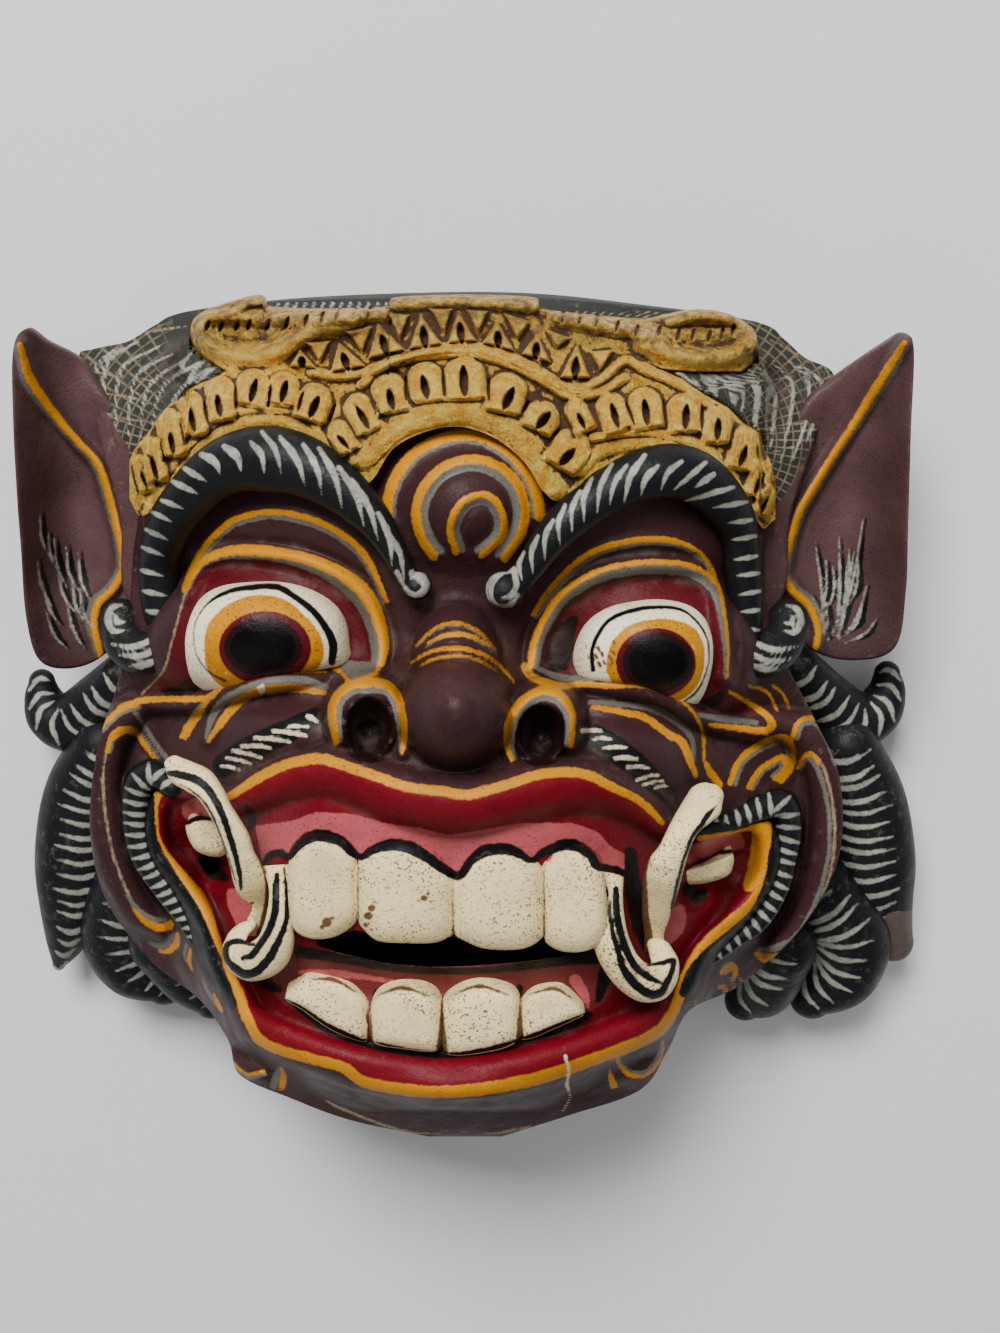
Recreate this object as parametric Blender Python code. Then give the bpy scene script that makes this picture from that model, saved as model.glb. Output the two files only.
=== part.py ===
"""A carved barong mask, lying on its back: +Z is the way the face looks and +Y is towards the crown.

The mask is one piece of wood. Its front is drawn as places in a picture of it, each with a height above the rim plane,
and the eye that sees the picture turns both into a point. The drawing's units follow the mask's width, so the carving
grows with the mask, while the wall, the rim and the mouth gap keep their own sizes.
"""

import math

import bpy
import numpy as np

# Driving sizes, in metres
MASK_WIDTH = 0.340      # ear to ear
WALL = 0.012            # wood between the carved front and the hollow behind it
RIM = 0.014             # least width of the flat rim that the mask lies on
MOUTH_GAP = 0.009       # height of the gap between the upper and lower teeth
EAR_THICKNESS = 0.012
VOXEL = 0.0023          # grain of the fused carving
FACETS = 8400           # triangles of the outside
PULL = 0.10             # how far the walls draw in behind the face, as a share of its half width

DRAWN_WIDTH = 340.8     # the mask's width in drawing units
UNIT = MASK_WIDTH / DRAWN_WIDTH
MIDDLE = np.array((-4.48, -5.12)) * UNIT

# The eye that the carving is drawn for: picture size and focal length in pixels, the rest in drawing units
PICTURE_WIDTH, PICTURE_HEIGHT = 1000.0, 1333.0
FOCAL_PX = 1925.0
EYE_DISTANCE = 655.0
EYE_TILT = math.radians(17.0)
EYE_TARGET = (9.5, 22.8, 90.0)
SIN_TILT, COS_TILT = math.sin(EYE_TILT), math.cos(EYE_TILT)
EYE = np.array(EYE_TARGET) + EYE_DISTANCE * np.array((0.0, SIN_TILT, COS_TILT))

# Outlines of the broad forms, as picture places
FACE_CENTRE = (450, 760)
FACE_EDGE = [
    (150, 480, 70), (135, 540, 66), (130, 600, 62), (118, 680, 58), (97, 750, 54), (90, 830, 52), (106, 900, 52),
    (150, 960, 60), (200, 1000, 75), (228, 1040, 90), (240, 1075, 97), (290, 1095, 102), (350, 1118, 106),
    (430, 1137, 108), (500, 1136, 108), (570, 1112, 106), (640, 1090, 98), (668, 1050, 92), (690, 1010, 80),
    (740, 985, 66), (800, 930, 54), (838, 860, 52), (840, 780, 52), (815, 720, 56), (785, 660, 58), (765, 600, 62),
    (765, 540, 66), (760, 480, 70), (720, 420, 78), (620, 390, 86), (460, 370, 92), (300, 390, 86), (200, 420, 78),
]
FACE_FORM = [
    (460, 520, 120), (455, 600, 113), (270, 490, 104), (190, 540, 86), (650, 490, 104), (730, 550, 86),
    (264, 640, 96), (657, 655, 96), (370, 650, 108), (540, 655, 108), (150, 690, 74), (765, 715, 74),
    (280, 715, 112), (640, 730, 112), (456, 680, 126), (365, 720, 128), (545, 725, 128), (467, 790, 150),
    (330, 780, 140), (590, 790, 140), (250, 790, 118), (660, 805, 118), (165, 800, 88), (760, 820, 88),
    (440, 860, 146), (440, 930, 144), (440, 990, 140), (440, 1050, 134), (300, 860, 134), (600, 870, 134),
    (205, 850, 90), (725, 865, 90), (240, 930, 104), (690, 930, 104), (290, 1010, 124), (600, 1015, 124),
    (450, 1100, 122), (290, 1070, 112), (610, 1070, 112), (150, 850, 78), (785, 870, 78),
]
CROWN_CENTRE = (460, 390)
CROWN_EDGE = [
    (130, 500, 66), (130, 452, 68), (144, 436, 70), (177, 395, 74), (210, 372, 76), (194, 345, 66), (190, 318, 62),
    (224, 304, 62), (256, 297, 64), (272, 308, 70), (330, 311, 80), (388, 300, 84), (460, 297, 86), (538, 300, 84),
    (600, 316, 80), (645, 322, 74), (698, 311, 64), (749, 325, 62), (758, 350, 66), (742, 412, 76), (764, 445, 72),
    (776, 485, 68), (772, 520, 66), (745, 500, 84), (700, 450, 98), (640, 450, 104), (570, 500, 112),
    (520, 470, 118), (460, 440, 120), (400, 470, 118), (350, 490, 112), (300, 430, 106), (240, 430, 98),
    (170, 490, 82), (150, 520, 72),
]
CROWN_FORM = [
    (460, 380, 112), (410, 400, 111), (520, 400, 111), (360, 430, 108), (560, 430, 108), (250, 390, 94),
    (320, 410, 102), (680, 405, 96), (610, 410, 104), (460, 350, 102), (380, 350, 96), (560, 360, 98),
    (460, 325, 93), (340, 330, 84), (600, 335, 84), (240, 340, 68), (700, 345, 68),
]
CAP_CENTRE = (455, 450)
CAP_EDGE = [
    (79, 360, 28), (90, 350, 28), (126, 342, 36), (155, 325, 40), (182, 313, 44), (272, 303, 54), (387, 299, 62),
    (540, 299, 62), (662, 310, 54), (759, 323, 44), (784, 339, 38), (804, 357, 32), (835, 378, 28), (815, 440, 48),
    (790, 520, 56), (780, 600, 56), (700, 640, 56), (200, 640, 56), (128, 600, 56), (120, 520, 56), (97, 430, 48),
]
CAP_FORM = [(455, 400, 86), (200, 420, 70), (710, 420, 70), (455, 560, 86), (160, 520, 62), (760, 520, 62)]
EARS = {
    "left": [
        (26, 329, 66), (13, 350, 68), (13, 421, 70), (17, 499, 70), (21, 551, 68), (26, 617, 62), (40, 661, 52),
        (75, 668, 44), (110, 650, 46), (150, 600, 50), (155, 520, 52), (145, 450, 50), (105, 395, 48),
        (81, 361, 46), (47, 342, 56),
    ],
    "right": [
        (905, 334, 66), (914, 350, 68), (911, 433, 70), (908, 535, 70), (906, 590, 66), (896, 646, 56),
        (860, 660, 46), (812, 650, 46), (768, 600, 50), (765, 540, 52), (775, 470, 50), (805, 405, 48),
        (835, 378, 46), (886, 343, 56),
    ],
}
EAR_BOWLS = {
    "left": [(50, 420, 50), (55, 500, 44), (60, 580, 44)],
    "right": [(880, 420, 50), (870, 500, 44), (860, 580, 44)],
}
EAR_FOLDS = {
    "left": [(24, 345), (44, 400), (78, 442), (107, 489), (123, 551), (97, 604), (100, 650)],
    "right": [(898, 345), (871, 396), (831, 459), (798, 515), (783, 575), (809, 606), (814, 640)],
}

# Bars of the face: (picture x, picture y, height), with half widths in pixels
BROWS = {
    "left": [
        (165, 640, 80), (155, 600, 84), (155, 560, 90), (168, 520, 97), (200, 480, 106), (240, 462, 114),
        (280, 460, 120), (320, 472, 124), (352, 497, 127), (380, 530, 128), (400, 565, 126), (418, 588, 124),
    ],
    "right": [
        (742, 640, 80), (742, 610, 84), (745, 570, 90), (740, 530, 97), (722, 500, 104), (690, 478, 112),
        (650, 472, 119), (610, 485, 124), (575, 508, 127), (545, 535, 128), (520, 565, 126), (502, 590, 124),
    ],
}
BROW_HALF = [20, 22, 22, 25, 28, 31, 30, 26, 22, 15, 11, 13]
UPPER_LIP = [
    (218, 806, 122), (250, 796, 130), (300, 778, 142), (340, 778, 148), (400, 797, 156), (465, 806, 160),
    (530, 794, 156), (590, 790, 148), (630, 806, 138), (665, 830, 126),
]
LOWER_LIP = [
    (236, 985, 112), (252, 1020, 122), (285, 1040, 130), (345, 1062, 138), (400, 1074, 142), (450, 1078, 143),
    (500, 1074, 142), (550, 1062, 138), (610, 1040, 130), (655, 1018, 120), (676, 985, 110),
]
MOUTH_CORNERS = {
    "left": [
        (212, 790, 112), (175, 792, 98), (158, 815, 94), (162, 850, 94), (186, 884, 98), (208, 920, 104),
        (222, 965, 108), (240, 1000, 114),
    ],
    "right": [
        (700, 838, 116), (745, 822, 98), (768, 838, 94), (765, 876, 94), (735, 916, 98), (702, 948, 104),
        (685, 985, 108), (668, 1012, 114),
    ],
}
FRINGES = {
    "left": [
        (168, 770, 100), (140, 768, 92), (134, 800, 88), (134, 845, 86), (158, 888, 88), (186, 920, 90),
        (208, 960, 92), (226, 1000, 94),
    ],
    "right": [
        (712, 815, 104), (755, 792, 94), (788, 805, 88), (790, 850, 86), (772, 895, 88), (738, 930, 90),
        (706, 960, 92), (688, 995, 92),
    ],
}
CHEEK_BANDS = {
    "left": [
        (182, 700, 86), (140, 706, 82), (112, 730, 80), (103, 762, 80), (103, 813, 80), (114, 866, 78),
        (136, 908, 76), (160, 930, 74),
    ],
    "right": [
        (740, 718, 86), (775, 722, 84), (812, 742, 82), (830, 790, 80), (832, 833, 80), (824, 884, 78),
        (806, 922, 76), (778, 948, 74),
    ],
}
NOSTRILS = {
    "left": [(338, 748), (334, 715), (347, 692), (368, 685), (390, 692), (401, 720), (403, 752)],
    "right": [(511, 758), (507, 730), (521, 703), (548, 690), (568, 704), (575, 730), (570, 748)],
}
LID_ARCHES = {
    "left": [(188, 584), (215, 553), (260, 547), (334, 562), (368, 588), (384, 640), (381, 664)],
    "right": [(528, 665), (534, 630), (563, 592), (620, 567), (670, 562), (714, 586), (727, 640), (727, 680)],
}
LOWER_LIDS = {
    "left": [(145, 696), (200, 698), (247, 676), (300, 671), (350, 664)],
    "right": [(560, 672), (618, 676), (660, 686), (700, 712), (755, 712)],
}
POUCHES = {
    "left": [(214, 722), (236, 698), (267, 685), (300, 682), (335, 694)],
    "right": [(590, 700), (630, 710), (668, 728), (691, 756), (697, 780)],
}
BRIDGE_FOLDS = [
    [(414, 650), (434, 630), (456, 624), (478, 633), (499, 656)],
    [(412, 678), (432, 657), (456, 651), (482, 658), (504, 682)],
]
BUMP_FOLDS = [
    [(385, 500), (398, 471), (430, 442), (470, 433), (512, 450), (534, 482), (542, 515)],
    [(430, 552), (416, 512), (440, 466), (473, 457), (510, 474), (527, 512), (508, 556)],
]

# Rods: (picture x, picture y, height, half width), the last two in drawing units
UPPER_FANGS = {
    "left": [(276, 858, 134, 4.8), (280, 895, 146, 5.4), (276, 928, 147, 7), (262, 952, 142, 8), (245, 951, 135, 6),
             (229, 942, 131, 2.4)],
    "right": [(620, 862, 134, 4.8), (627, 902, 146, 5.6), (636, 940, 147, 7), (649, 970, 141, 8),
              (665, 964, 134, 5.4), (673, 950, 131, 2.4)],
}
TUSKS = {
    "left": [(252, 900, 120, 5.5), (246, 866, 138, 5.2), (232, 826, 144, 5), (214, 798, 143, 4.8),
             (194, 779, 138, 4), (175, 765, 132, 2.2)],
    "right": [(657, 935, 120, 5.5), (659, 893, 138, 5.2), (665, 860, 144, 5.2), (678, 832, 143, 5.2),
              (694, 811, 138, 4.8), (708, 800, 132, 4)],
}
LOCKS = {
    "left": [
        [(124, 676, 36, 9), (98, 700, 30, 10), (72, 722, 26, 11), (52, 716, 24, 9.5), (44, 698, 22, 7.5),
         (42, 682, 22, 5)],
        [(104, 745, 32, 12), (86, 795, 28, 15), (80, 855, 26, 17), (76, 910, 24, 14), (66, 946, 22, 8)],
        [(135, 870, 38, 14), (122, 925, 30, 16), (134, 962, 26, 14), (165, 982, 24, 9)],
        [(165, 940, 46, 14), (192, 976, 40, 12), (212, 998, 38, 8)],
    ],
    "right": [
        [(796, 668, 36, 9), (825, 697, 30, 10), (853, 719, 26, 11), (876, 712, 24, 9.5), (886, 692, 22, 7.5),
         (887, 674, 22, 5)],
        [(846, 745, 32, 12), (866, 800, 28, 15), (871, 860, 26, 17), (876, 905, 24, 14), (886, 938, 22, 8)],
        [(815, 885, 38, 14), (848, 930, 30, 16), (842, 972, 26, 14), (812, 996, 24, 9)],
        [(780, 945, 46, 14), (765, 985, 36, 12), (745, 1000, 32, 8)],
    ],
}
RIBBONS = {
    "left": [(270, 306, 66, 4), (238, 311, 66, 6), (207, 324, 62, 9), (224, 346, 68, 9), (262, 348, 78, 9),
             (312, 334, 86, 6), (382, 316, 88, 3)],
    "right": [(606, 325, 84, 4), (650, 338, 80, 8), (690, 350, 74, 9), (732, 348, 66, 9), (744, 333, 62, 7),
              (712, 318, 64, 5), (674, 322, 70, 4)],
}
TEMPLE_CURLS = {
    "left": [(120, 617, 74, 7.5), (140, 646, 72, 7), (166, 658, 76, 5)],
    "right": [(790, 620, 74, 7.5), (772, 650, 72, 7), (746, 660, 76, 5)],
}

# Teeth: left, top, right and bottom in the picture, then how far each stands out
UPPER_TEETH = [
    (292, 842, 356, 938, 143), (360, 850, 450, 943, 151), (454, 850, 541, 946, 151), (545, 850, 604, 948, 145),
]
MOLARS = [(184, 820, 224, 858, 100), (684, 853, 732, 884, 102)]
LOWER_TEETH = [
    (300, 985, 364, 1040, 136), (371, 990, 440, 1050, 143), (445, 985, 518, 1050, 143), (524, 988, 582, 1036, 137),
]


def place(px, py, height):
    """Points in metres, this high in drawing units, that the eye sees at the picture place (px, py)."""
    across = np.asarray(px, float) - PICTURE_WIDTH / 2
    down = np.asarray(py, float) - PICTURE_HEIGHT / 2
    z = np.asarray(height, float)
    share = (z - EYE[2]) / (down * SIN_TILT - FOCAL_PX * COS_TILT)
    y = EYE[1] - share * (FOCAL_PX * SIN_TILT + down * COS_TILT)
    return UNIT * np.stack(np.broadcast_arrays(EYE[0] + share * across, y, z), -1)


def seen(points):
    """Where the eye sees points given in metres, as picture places."""
    way = points / UNIT - EYE
    depth = -(way[:, 1] * SIN_TILT + way[:, 2] * COS_TILT)
    rise = way[:, 1] * COS_TILT - way[:, 2] * SIN_TILT
    return np.stack([PICTURE_WIDTH / 2 + FOCAL_PX * way[:, 0] / depth, PICTURE_HEIGHT / 2 - FOCAL_PX * rise / depth], -1)


def spline(points, steps=8, closed=False):
    """A smooth curve through points of any number of values, with this many steps from one to the next."""
    p = np.asarray(points, float)
    if closed:
        p = np.concatenate([p[-1:], p, p[:2]])
    else:
        p = np.concatenate([2 * p[:1] - p[1:2], p, 2 * p[-1:] - p[-2:-1]])
    t = (np.arange(steps) / steps)[:, None]
    runs = []
    for a, b, c, d in zip(p[:-3], p[1:-2], p[2:-1], p[3:]):
        runs.append(b + (c - a) * t / 2 + (2 * a - 5 * b + 4 * c - d) * t**2 / 2
                    + (3 * b - a - 3 * c + d) * t**3 / 2)
    if not closed:
        runs.append(p[-2:-1])
    return np.concatenate(runs)


def nearest(uv, path):
    """How far each place is from a path, in pixels, and how far along the path it is, from 0 to 1."""
    best = np.full(len(uv), 1e9)
    along = np.zeros(len(uv))
    for k, (a, b) in enumerate(zip(path[:-1], path[1:])):
        run = b - a
        t = np.clip((uv - a) @ run / max(run @ run, 1e-9), 0, 1)
        gap = np.hypot(*(uv - a - t[:, None] * run).T)
        closer = gap < best
        best[closer] = gap[closer]
        along[closer] = (k + t[closer]) / (len(path) - 1)
    return best, along


def close_to(uv, low, high, reach):
    """The indices of the places inside a box widened by reach."""
    inside = (uv > np.asarray(low) - reach) & (uv < np.asarray(high) + reach)
    return np.nonzero(inside.all(1))[0]


def spread(values, along):
    """A value that runs along a path through evenly spaced ones."""
    values = np.atleast_1d(np.asarray(values, float))
    return np.interp(along, np.linspace(0, 1, len(values)), values)


def higher(a, b, blend):
    """The greater of two heights, with a fillet of about this size between them."""
    return np.maximum(a, b) + np.maximum(blend - np.abs(a - b), 0) ** 2 / (4 * blend)


def ridge(h, uv, path, half, rise):
    """Adds a ridge along a path, or a groove where rise is negative. half is its half width in pixels."""
    path = spline(path)
    near = close_to(uv, path.min(0), path.max(0), np.max(half))
    gap, along = nearest(uv[near], path)
    h[near] += spread(rise, along) * np.clip(1 - (gap / spread(half, along)) ** 2, 0, 1) ** 2


def oval(uv, centre, radii, turn=0.0):
    """The square of the distance from an oval's centre, where 1 is its edge. turn is clockwise, in degrees."""
    c, s = math.cos(math.radians(turn)), math.sin(math.radians(turn))
    x, y = (uv - centre).T
    return ((x * c + y * s) / radii[0]) ** 2 + ((y * c - x * s) / radii[1]) ** 2


def mound(h, uv, centre, radii, rise, turn=0.0):
    """Adds an oval mound, or a hollow where rise is negative."""
    near = close_to(uv, centre, centre, max(radii))
    h[near] += rise * np.clip(1 - oval(uv[near], centre, radii, turn), 0, 1) ** 2


def dome(h, uv, centre, radii, foot, top, turn=0.0, blend=4.0):
    """Raises the surface to an ellipsoid that stands on height foot and reaches height top."""
    near = close_to(uv, centre, centre, max(radii))
    r = oval(uv[near], centre, radii, turn)
    form = np.where(r < 1, foot + (top - foot) * np.sqrt(np.clip(1 - r, 0, 1)), foot - 40 * (np.sqrt(r) - 1))
    h[near] = higher(h[near], form, blend)


def bar(h, uv, path, half, depth, blend=3.0):
    """Raises the surface to a half-round bar. Its path has the crest's height as a third value."""
    path = spline(path)
    near = close_to(uv, path[:, :2].min(0), path[:, :2].max(0), 1.3 * np.max(half))
    gap, along = nearest(uv[near], path[:, :2])
    r = gap / spread(half, along)
    crest = spread(path[:, 2], along)
    form = crest - depth * np.where(r < 1, 1 - np.sqrt(np.clip(1 - r**2, 0, 1)), 1 + 2 * (r - 1))
    h[near] = higher(h[near], form, blend)


def thin_plate(marks):
    """A function that gives a smooth height through marks of (picture x, picture y, height)."""
    marks = np.asarray(marks, float)
    at, count = marks[:, :2] / 1000, len(marks)

    def kernel(a, b):
        square = ((a[:, None] - b[None]) ** 2).sum(2)
        return square * np.log(square + 1e-12)

    flat = np.c_[np.ones(count), at]
    whole = np.block([[kernel(at, at) + 1e-4 * np.eye(count), flat], [flat.T, np.zeros((3, 3))]])
    weights = np.linalg.solve(whole, np.r_[marks[:, 2], np.zeros(3)])

    def height(uv):
        q = uv / 1000
        return kernel(q, at) @ weights[:count] + np.c_[np.ones(len(q)), q] @ weights[count:]

    return height


face_form = thin_plate(FACE_EDGE + FACE_FORM)
crown_form = thin_plate(CROWN_EDGE + CROWN_FORM)
cap_form = thin_plate(CAP_EDGE + CAP_FORM)
shell_form = thin_plate([m for m in FACE_EDGE if m[1] > 450] + FACE_FORM + [m for m in CAP_EDGE + CAP_FORM if m[1] < 430])


def brow_and_forehead(h, uv):
    """The bump between the brows, with its two folds, and the thick brows."""
    mound(h, uv, (463, 500), (90, 95), 12)
    for fold in BUMP_FOLDS:
        ridge(h, uv, fold, 9, 3.0)
    for brow in BROWS.values():
        bar(h, uv, brow, BROW_HALF, 10)
    dome(h, uv, (418, 584), (16, 16), 118, 131)
    dome(h, uv, (502, 591), (17, 17), 118, 131)


def eyes(h, uv):
    """Lids, eyeballs and the folds above and below them."""
    dome(h, uv, (262, 628), (118, 72), 86, 110, -14)
    dome(h, uv, (652, 642), (112, 78), 86, 110, 16)
    for side in ("left", "right"):
        ridge(h, uv, LID_ARCHES[side], 12, 5)
    dome(h, uv, (268, 638), (80, 52), 100, 122, 3)
    dome(h, uv, (652, 658), (72, 56), 100, 122, 10)
    for side in ("left", "right"):
        ridge(h, uv, LOWER_LIDS[side], 13, 5)
    mound(h, uv, (272, 715), (85, 42), 10, -6)
    mound(h, uv, (640, 735), (80, 44), 10, 24)
    for side in ("left", "right"):
        ridge(h, uv, POUCHES[side], 14, 5)


def nose(h, uv):
    """The bridge with its folds, the round tip and the blind nostrils."""
    dome(h, uv, (368, 722), (46, 50), 118, 151)
    dome(h, uv, (543, 728), (46, 50), 118, 151)
    dome(h, uv, (456, 664), (44, 62), 112, 142)
    for fold in BRIDGE_FOLDS:
        ridge(h, uv, fold, 9, 3.5)
    dome(h, uv, (456, 716), (56, 60), 128, 172)
    for rim in NOSTRILS.values():
        ridge(h, uv, rim, 11, 5)
    mound(h, uv, (369, 726), (27, 32), -16)
    mound(h, uv, (540, 731), (27, 32), -16)


def mouth(h, uv):
    """Lips, mouth corners and the bands around them."""
    for side in ("left", "right"):
        bar(h, uv, CHEEK_BANDS[side], [12, 16, 18, 20, 20, 20, 18, 12], 8)
        bar(h, uv, FRINGES[side], [10, 12, 14, 16, 16, 15, 13, 10], 7)
    mound(h, uv, (202, 850), (40, 48), -8, -12)
    mound(h, uv, (726, 862), (40, 48), -8, 12)
    for corner in MOUTH_CORNERS.values():
        bar(h, uv, corner, 11, 7)
    bar(h, uv, UPPER_LIP, [16, 20, 26, 28, 30, 30, 30, 26, 22, 16], 13)
    bar(h, uv, LOWER_LIP, [14, 18, 22, 24, 24, 24, 24, 24, 22, 18, 14], 11)
    mound(h, uv, (450, 1112), (150, 44), 6)


def face_height(uv):
    """The carved front of the face."""
    h = face_form(uv)
    brow_and_forehead(h, uv)
    eyes(h, uv)
    nose(h, uv)
    mouth(h, uv)
    return h


CROWN_ROWS = {
    "left": ([(148, 500), (158, 452), (186, 418), (232, 394), (280, 392), (328, 408)], 10, (14, 22)),
    "middle": ([(358, 434), (384, 405), (424, 388), (465, 383), (508, 390), (548, 416), (580, 462)], 10, (15, 24)),
    "right": ([(612, 410), (650, 408), (698, 418), (738, 440), (758, 476), (764, 530)], 9, (15, 22)),
    "leaves": ([(290, 334), (380, 328), (460, 326), (560, 328), (690, 334)], 17, (10, 22)),
}
CROWN_BANDS = [
    [(160, 496), (198, 450), (240, 417), (280, 412), (318, 424)],
    [(358, 464), (390, 430), (425, 412), (462, 411), (505, 422), (540, 452), (556, 486)],
    [(600, 440), (660, 438), (702, 449), (738, 480), (757, 518)],
    [(372, 366), (420, 353), (470, 349), (520, 362), (575, 386), (629, 362), (694, 388)],
]


def crown_height(uv):
    """The crown: smooth bands, and rows of leaves across them."""
    h = crown_form(uv)
    for band in CROWN_BANDS:
        ridge(h, uv, band, 15, 5)
    for path, count, (half, length) in CROWN_ROWS.values():
        path = spline(path)
        steps = np.linspace(0, len(path) - 1, count)
        for k in steps:
            at = path[int(round(k))]
            before, after = path[max(int(k) - 1, 0)], path[min(int(k) + 2, len(path) - 1)]
            turn = math.degrees(math.atan2(after[1] - before[1], after[0] - before[0]))
            mound(h, uv, at, (half, length), 7, turn)
    return h


def skin(name, rings):
    """A closed mesh object through rings of points, with a point in the middle of the first and last ring."""
    rings = np.asarray(rings)
    count, around = rings.shape[:2]
    points = np.concatenate([rings.reshape(-1, 3), rings[:1].mean(1), rings[-1:].mean(1)])
    k = np.arange(around)
    after = np.roll(k, -1)
    start = (np.arange(count - 1) * around)[:, None]
    quads = np.stack([start + k, start + after, start + around + after, start + around + k], -1).reshape(-1, 4)
    last = (count - 1) * around
    caps = [(count * around, int(b), int(a)) for a, b in zip(k, after)]
    caps += [(count * around + 1, last + int(a), last + int(b)) for a, b in zip(k, after)]
    mesh = bpy.data.meshes.new(name)
    mesh.from_pydata(points.tolist(), [], quads.tolist() + caps)
    mesh.validate()
    piece = bpy.data.objects.new(name, mesh)
    bpy.context.scene.collection.objects.link(piece)
    a, b, c, d = (points[quads[:, n]] for n in range(4))
    if np.einsum("ij,ij->", a, np.cross(b, c)) + np.einsum("ij,ij->", a, np.cross(c, d)) < 0:
        mesh.flip_normals()
    return piece


def even_edge(outline, around):
    """Evenly spaced places along a smooth closed outline."""
    edge = spline([p[:2] for p in outline], 12, closed=True)
    run = np.r_[0, np.cumsum(np.hypot(*np.diff(np.r_[edge, edge[:1]], axis=0).T))]
    even = np.linspace(0, run[-1], around, endpoint=False)
    return np.stack([np.interp(even, run, np.r_[edge[:, k], edge[0, k]]) for k in (0, 1)], -1)


def walls(rim, middle, foot, pull):
    """Rings that run from a rim down to height foot, drawn in towards the middle by the share pull."""
    for share in np.linspace(0, 1, 7)[1:]:
        ring = rim.copy()
        ring[:, :2] += (middle[:2] - rim[:, :2]) * pull * share**1.5
        ring[:, 2] = rim[:, 2] + (foot - rim[:, 2]) * share
        yield ring


def relief(name, outline, centre, height, foot=0.0, pull=0.0, around=240, rings=60):
    """A solid with a carved front inside an outline in the picture, and walls down to height foot."""
    edge = even_edge(outline, around)
    front = []
    for share in np.linspace(0, 1, rings + 1)[1:]:
        uv = np.asarray(centre) + (edge - centre) * share
        front.append(place(uv[:, 0], uv[:, 1], height(uv)))
    return skin(name, front + list(walls(front[-1], front[0].mean(0), foot, pull)))


def plate(name, outline, height, thickness, around=120, rings=16):
    """A leaf inside an outline in the picture, this thick in the middle and thinner at its edge."""
    edge = even_edge(outline, around)
    centre = edge.mean(0)
    front, back = [], []
    for share in np.linspace(0, 1, rings + 1)[1:]:
        uv = centre + (edge - centre) * share
        front.append(place(uv[:, 0], uv[:, 1], height(uv)))
        back.append(front[-1] - (0, 0, thickness * (1 - 0.3 * share**6)))
    return skin(name, front + back[::-1])


def rod(name, path, around=14, steps=6):
    """A solid rod with round ends through points of (picture x, picture y, height, half width)."""
    line = spline(path, steps)
    axis = place(line[:, 0], line[:, 1], line[:, 2])
    size = np.maximum(line[:, 3], 0.3) * UNIT
    ahead = np.gradient(axis, axis=0)
    ahead /= np.linalg.norm(ahead, axis=1)[:, None]
    to_eye = EYE * UNIT - axis
    out = to_eye - ahead * np.einsum("ij,ij->i", to_eye, ahead)[:, None]
    out /= np.linalg.norm(out, axis=1)[:, None]
    side = np.cross(ahead, out)
    turn = np.linspace(0, 2 * math.pi, around, endpoint=False)

    def ring(k, scale, shift):
        circle = np.cos(turn)[:, None] * side[k] + np.sin(turn)[:, None] * out[k]
        return axis[k] + size[k] * (ahead[k] * shift + scale * circle)

    bend = np.radians([67.5, 45, 22.5])
    rings = [ring(0, math.cos(a), -math.sin(a)) for a in bend]
    rings += [ring(k, 1.0, 0.0) for k in range(len(axis))]
    rings += [ring(-1, math.cos(a), math.sin(a)) for a in bend[::-1]]
    return skin(name, rings)


def tooth(name, left, top, right, bottom, stands, depth=9.0):
    """A rounded block that fills a box in the picture, with its front at height stands."""
    middle = place((left + right) / 2, (top + bottom) / 2, stands)
    corner_a, corner_b = place(left, top, stands), place(right, bottom, stands)
    half = np.array([(corner_b[0] - corner_a[0]) / 2, (corner_a[1] - corner_b[1]) / 2, depth * UNIT])
    middle[2] -= half[2]
    turn = np.linspace(0, 2 * math.pi, 24, endpoint=False)

    def bow(v):
        return np.sign(v) * np.abs(v) ** 0.55

    rings = []
    for a in np.radians(np.linspace(-85, 85, 12)):
        x, y = bow(math.cos(a)) * bow(np.cos(turn)), bow(math.cos(a)) * bow(np.sin(turn))
        rings.append(middle + half * np.stack([x, y, np.full(24, bow(math.sin(a)))], -1))
    return skin(name, rings)


def ear(side):
    """A leaf-shaped ear: a bowl, the fold across it and a band beside the head."""
    form = thin_plate(EARS[side] + EAR_BOWLS[side])

    def height(uv):
        h = form(uv)
        ridge(h, uv, EAR_FOLDS[side], 14, 6)
        return h

    return plate("ear_" + side, EARS[side], height, EAR_THICKNESS)


def fuse(pieces, name):
    """Joins overlapping pieces and makes one closed skin around them all."""
    target = pieces[0]
    with bpy.context.temp_override(active_object=target, selected_editable_objects=pieces, object=target,
                                   selected_objects=pieces):
        bpy.ops.object.join()
    target.name = name
    target.data.name = name
    remesh = target.modifiers.new("fuse", "REMESH")
    remesh.mode = "VOXEL"
    remesh.voxel_size = VOXEL
    return target


def cutter(piece):
    """Keeps a piece out of the model, for use as a cutter."""
    piece.hide_render = True
    piece.display_type = "WIRE"
    return piece


def cut(piece, name, tool):
    """Takes a cutter's volume out of a piece."""
    step = piece.modifiers.new(name, "BOOLEAN")
    step.operation = "DIFFERENCE"
    step.solver = "EXACT"
    step.object = cutter(tool)


def box(name, low, high):
    """A box between two corners."""
    bpy.ops.mesh.primitive_cube_add(size=1)
    piece = bpy.context.object
    piece.name = name
    piece.location = [(a + b) / 2 for a, b in zip(low, high)]
    piece.scale = [b - a for a, b in zip(low, high)]
    return piece


def mouth_slot():
    """The gap between the teeth, straight through the wall: its upper side is level with the upper teeth's edges."""
    top = place(450, 944, 150)[1]
    left, right = place(306, 944, 140)[0], place(594, 944, 140)[0]
    return box("mouth_slot", (left, top - MOUTH_GAP, 32 * UNIT), (right, top, 192 * UNIT))


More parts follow.
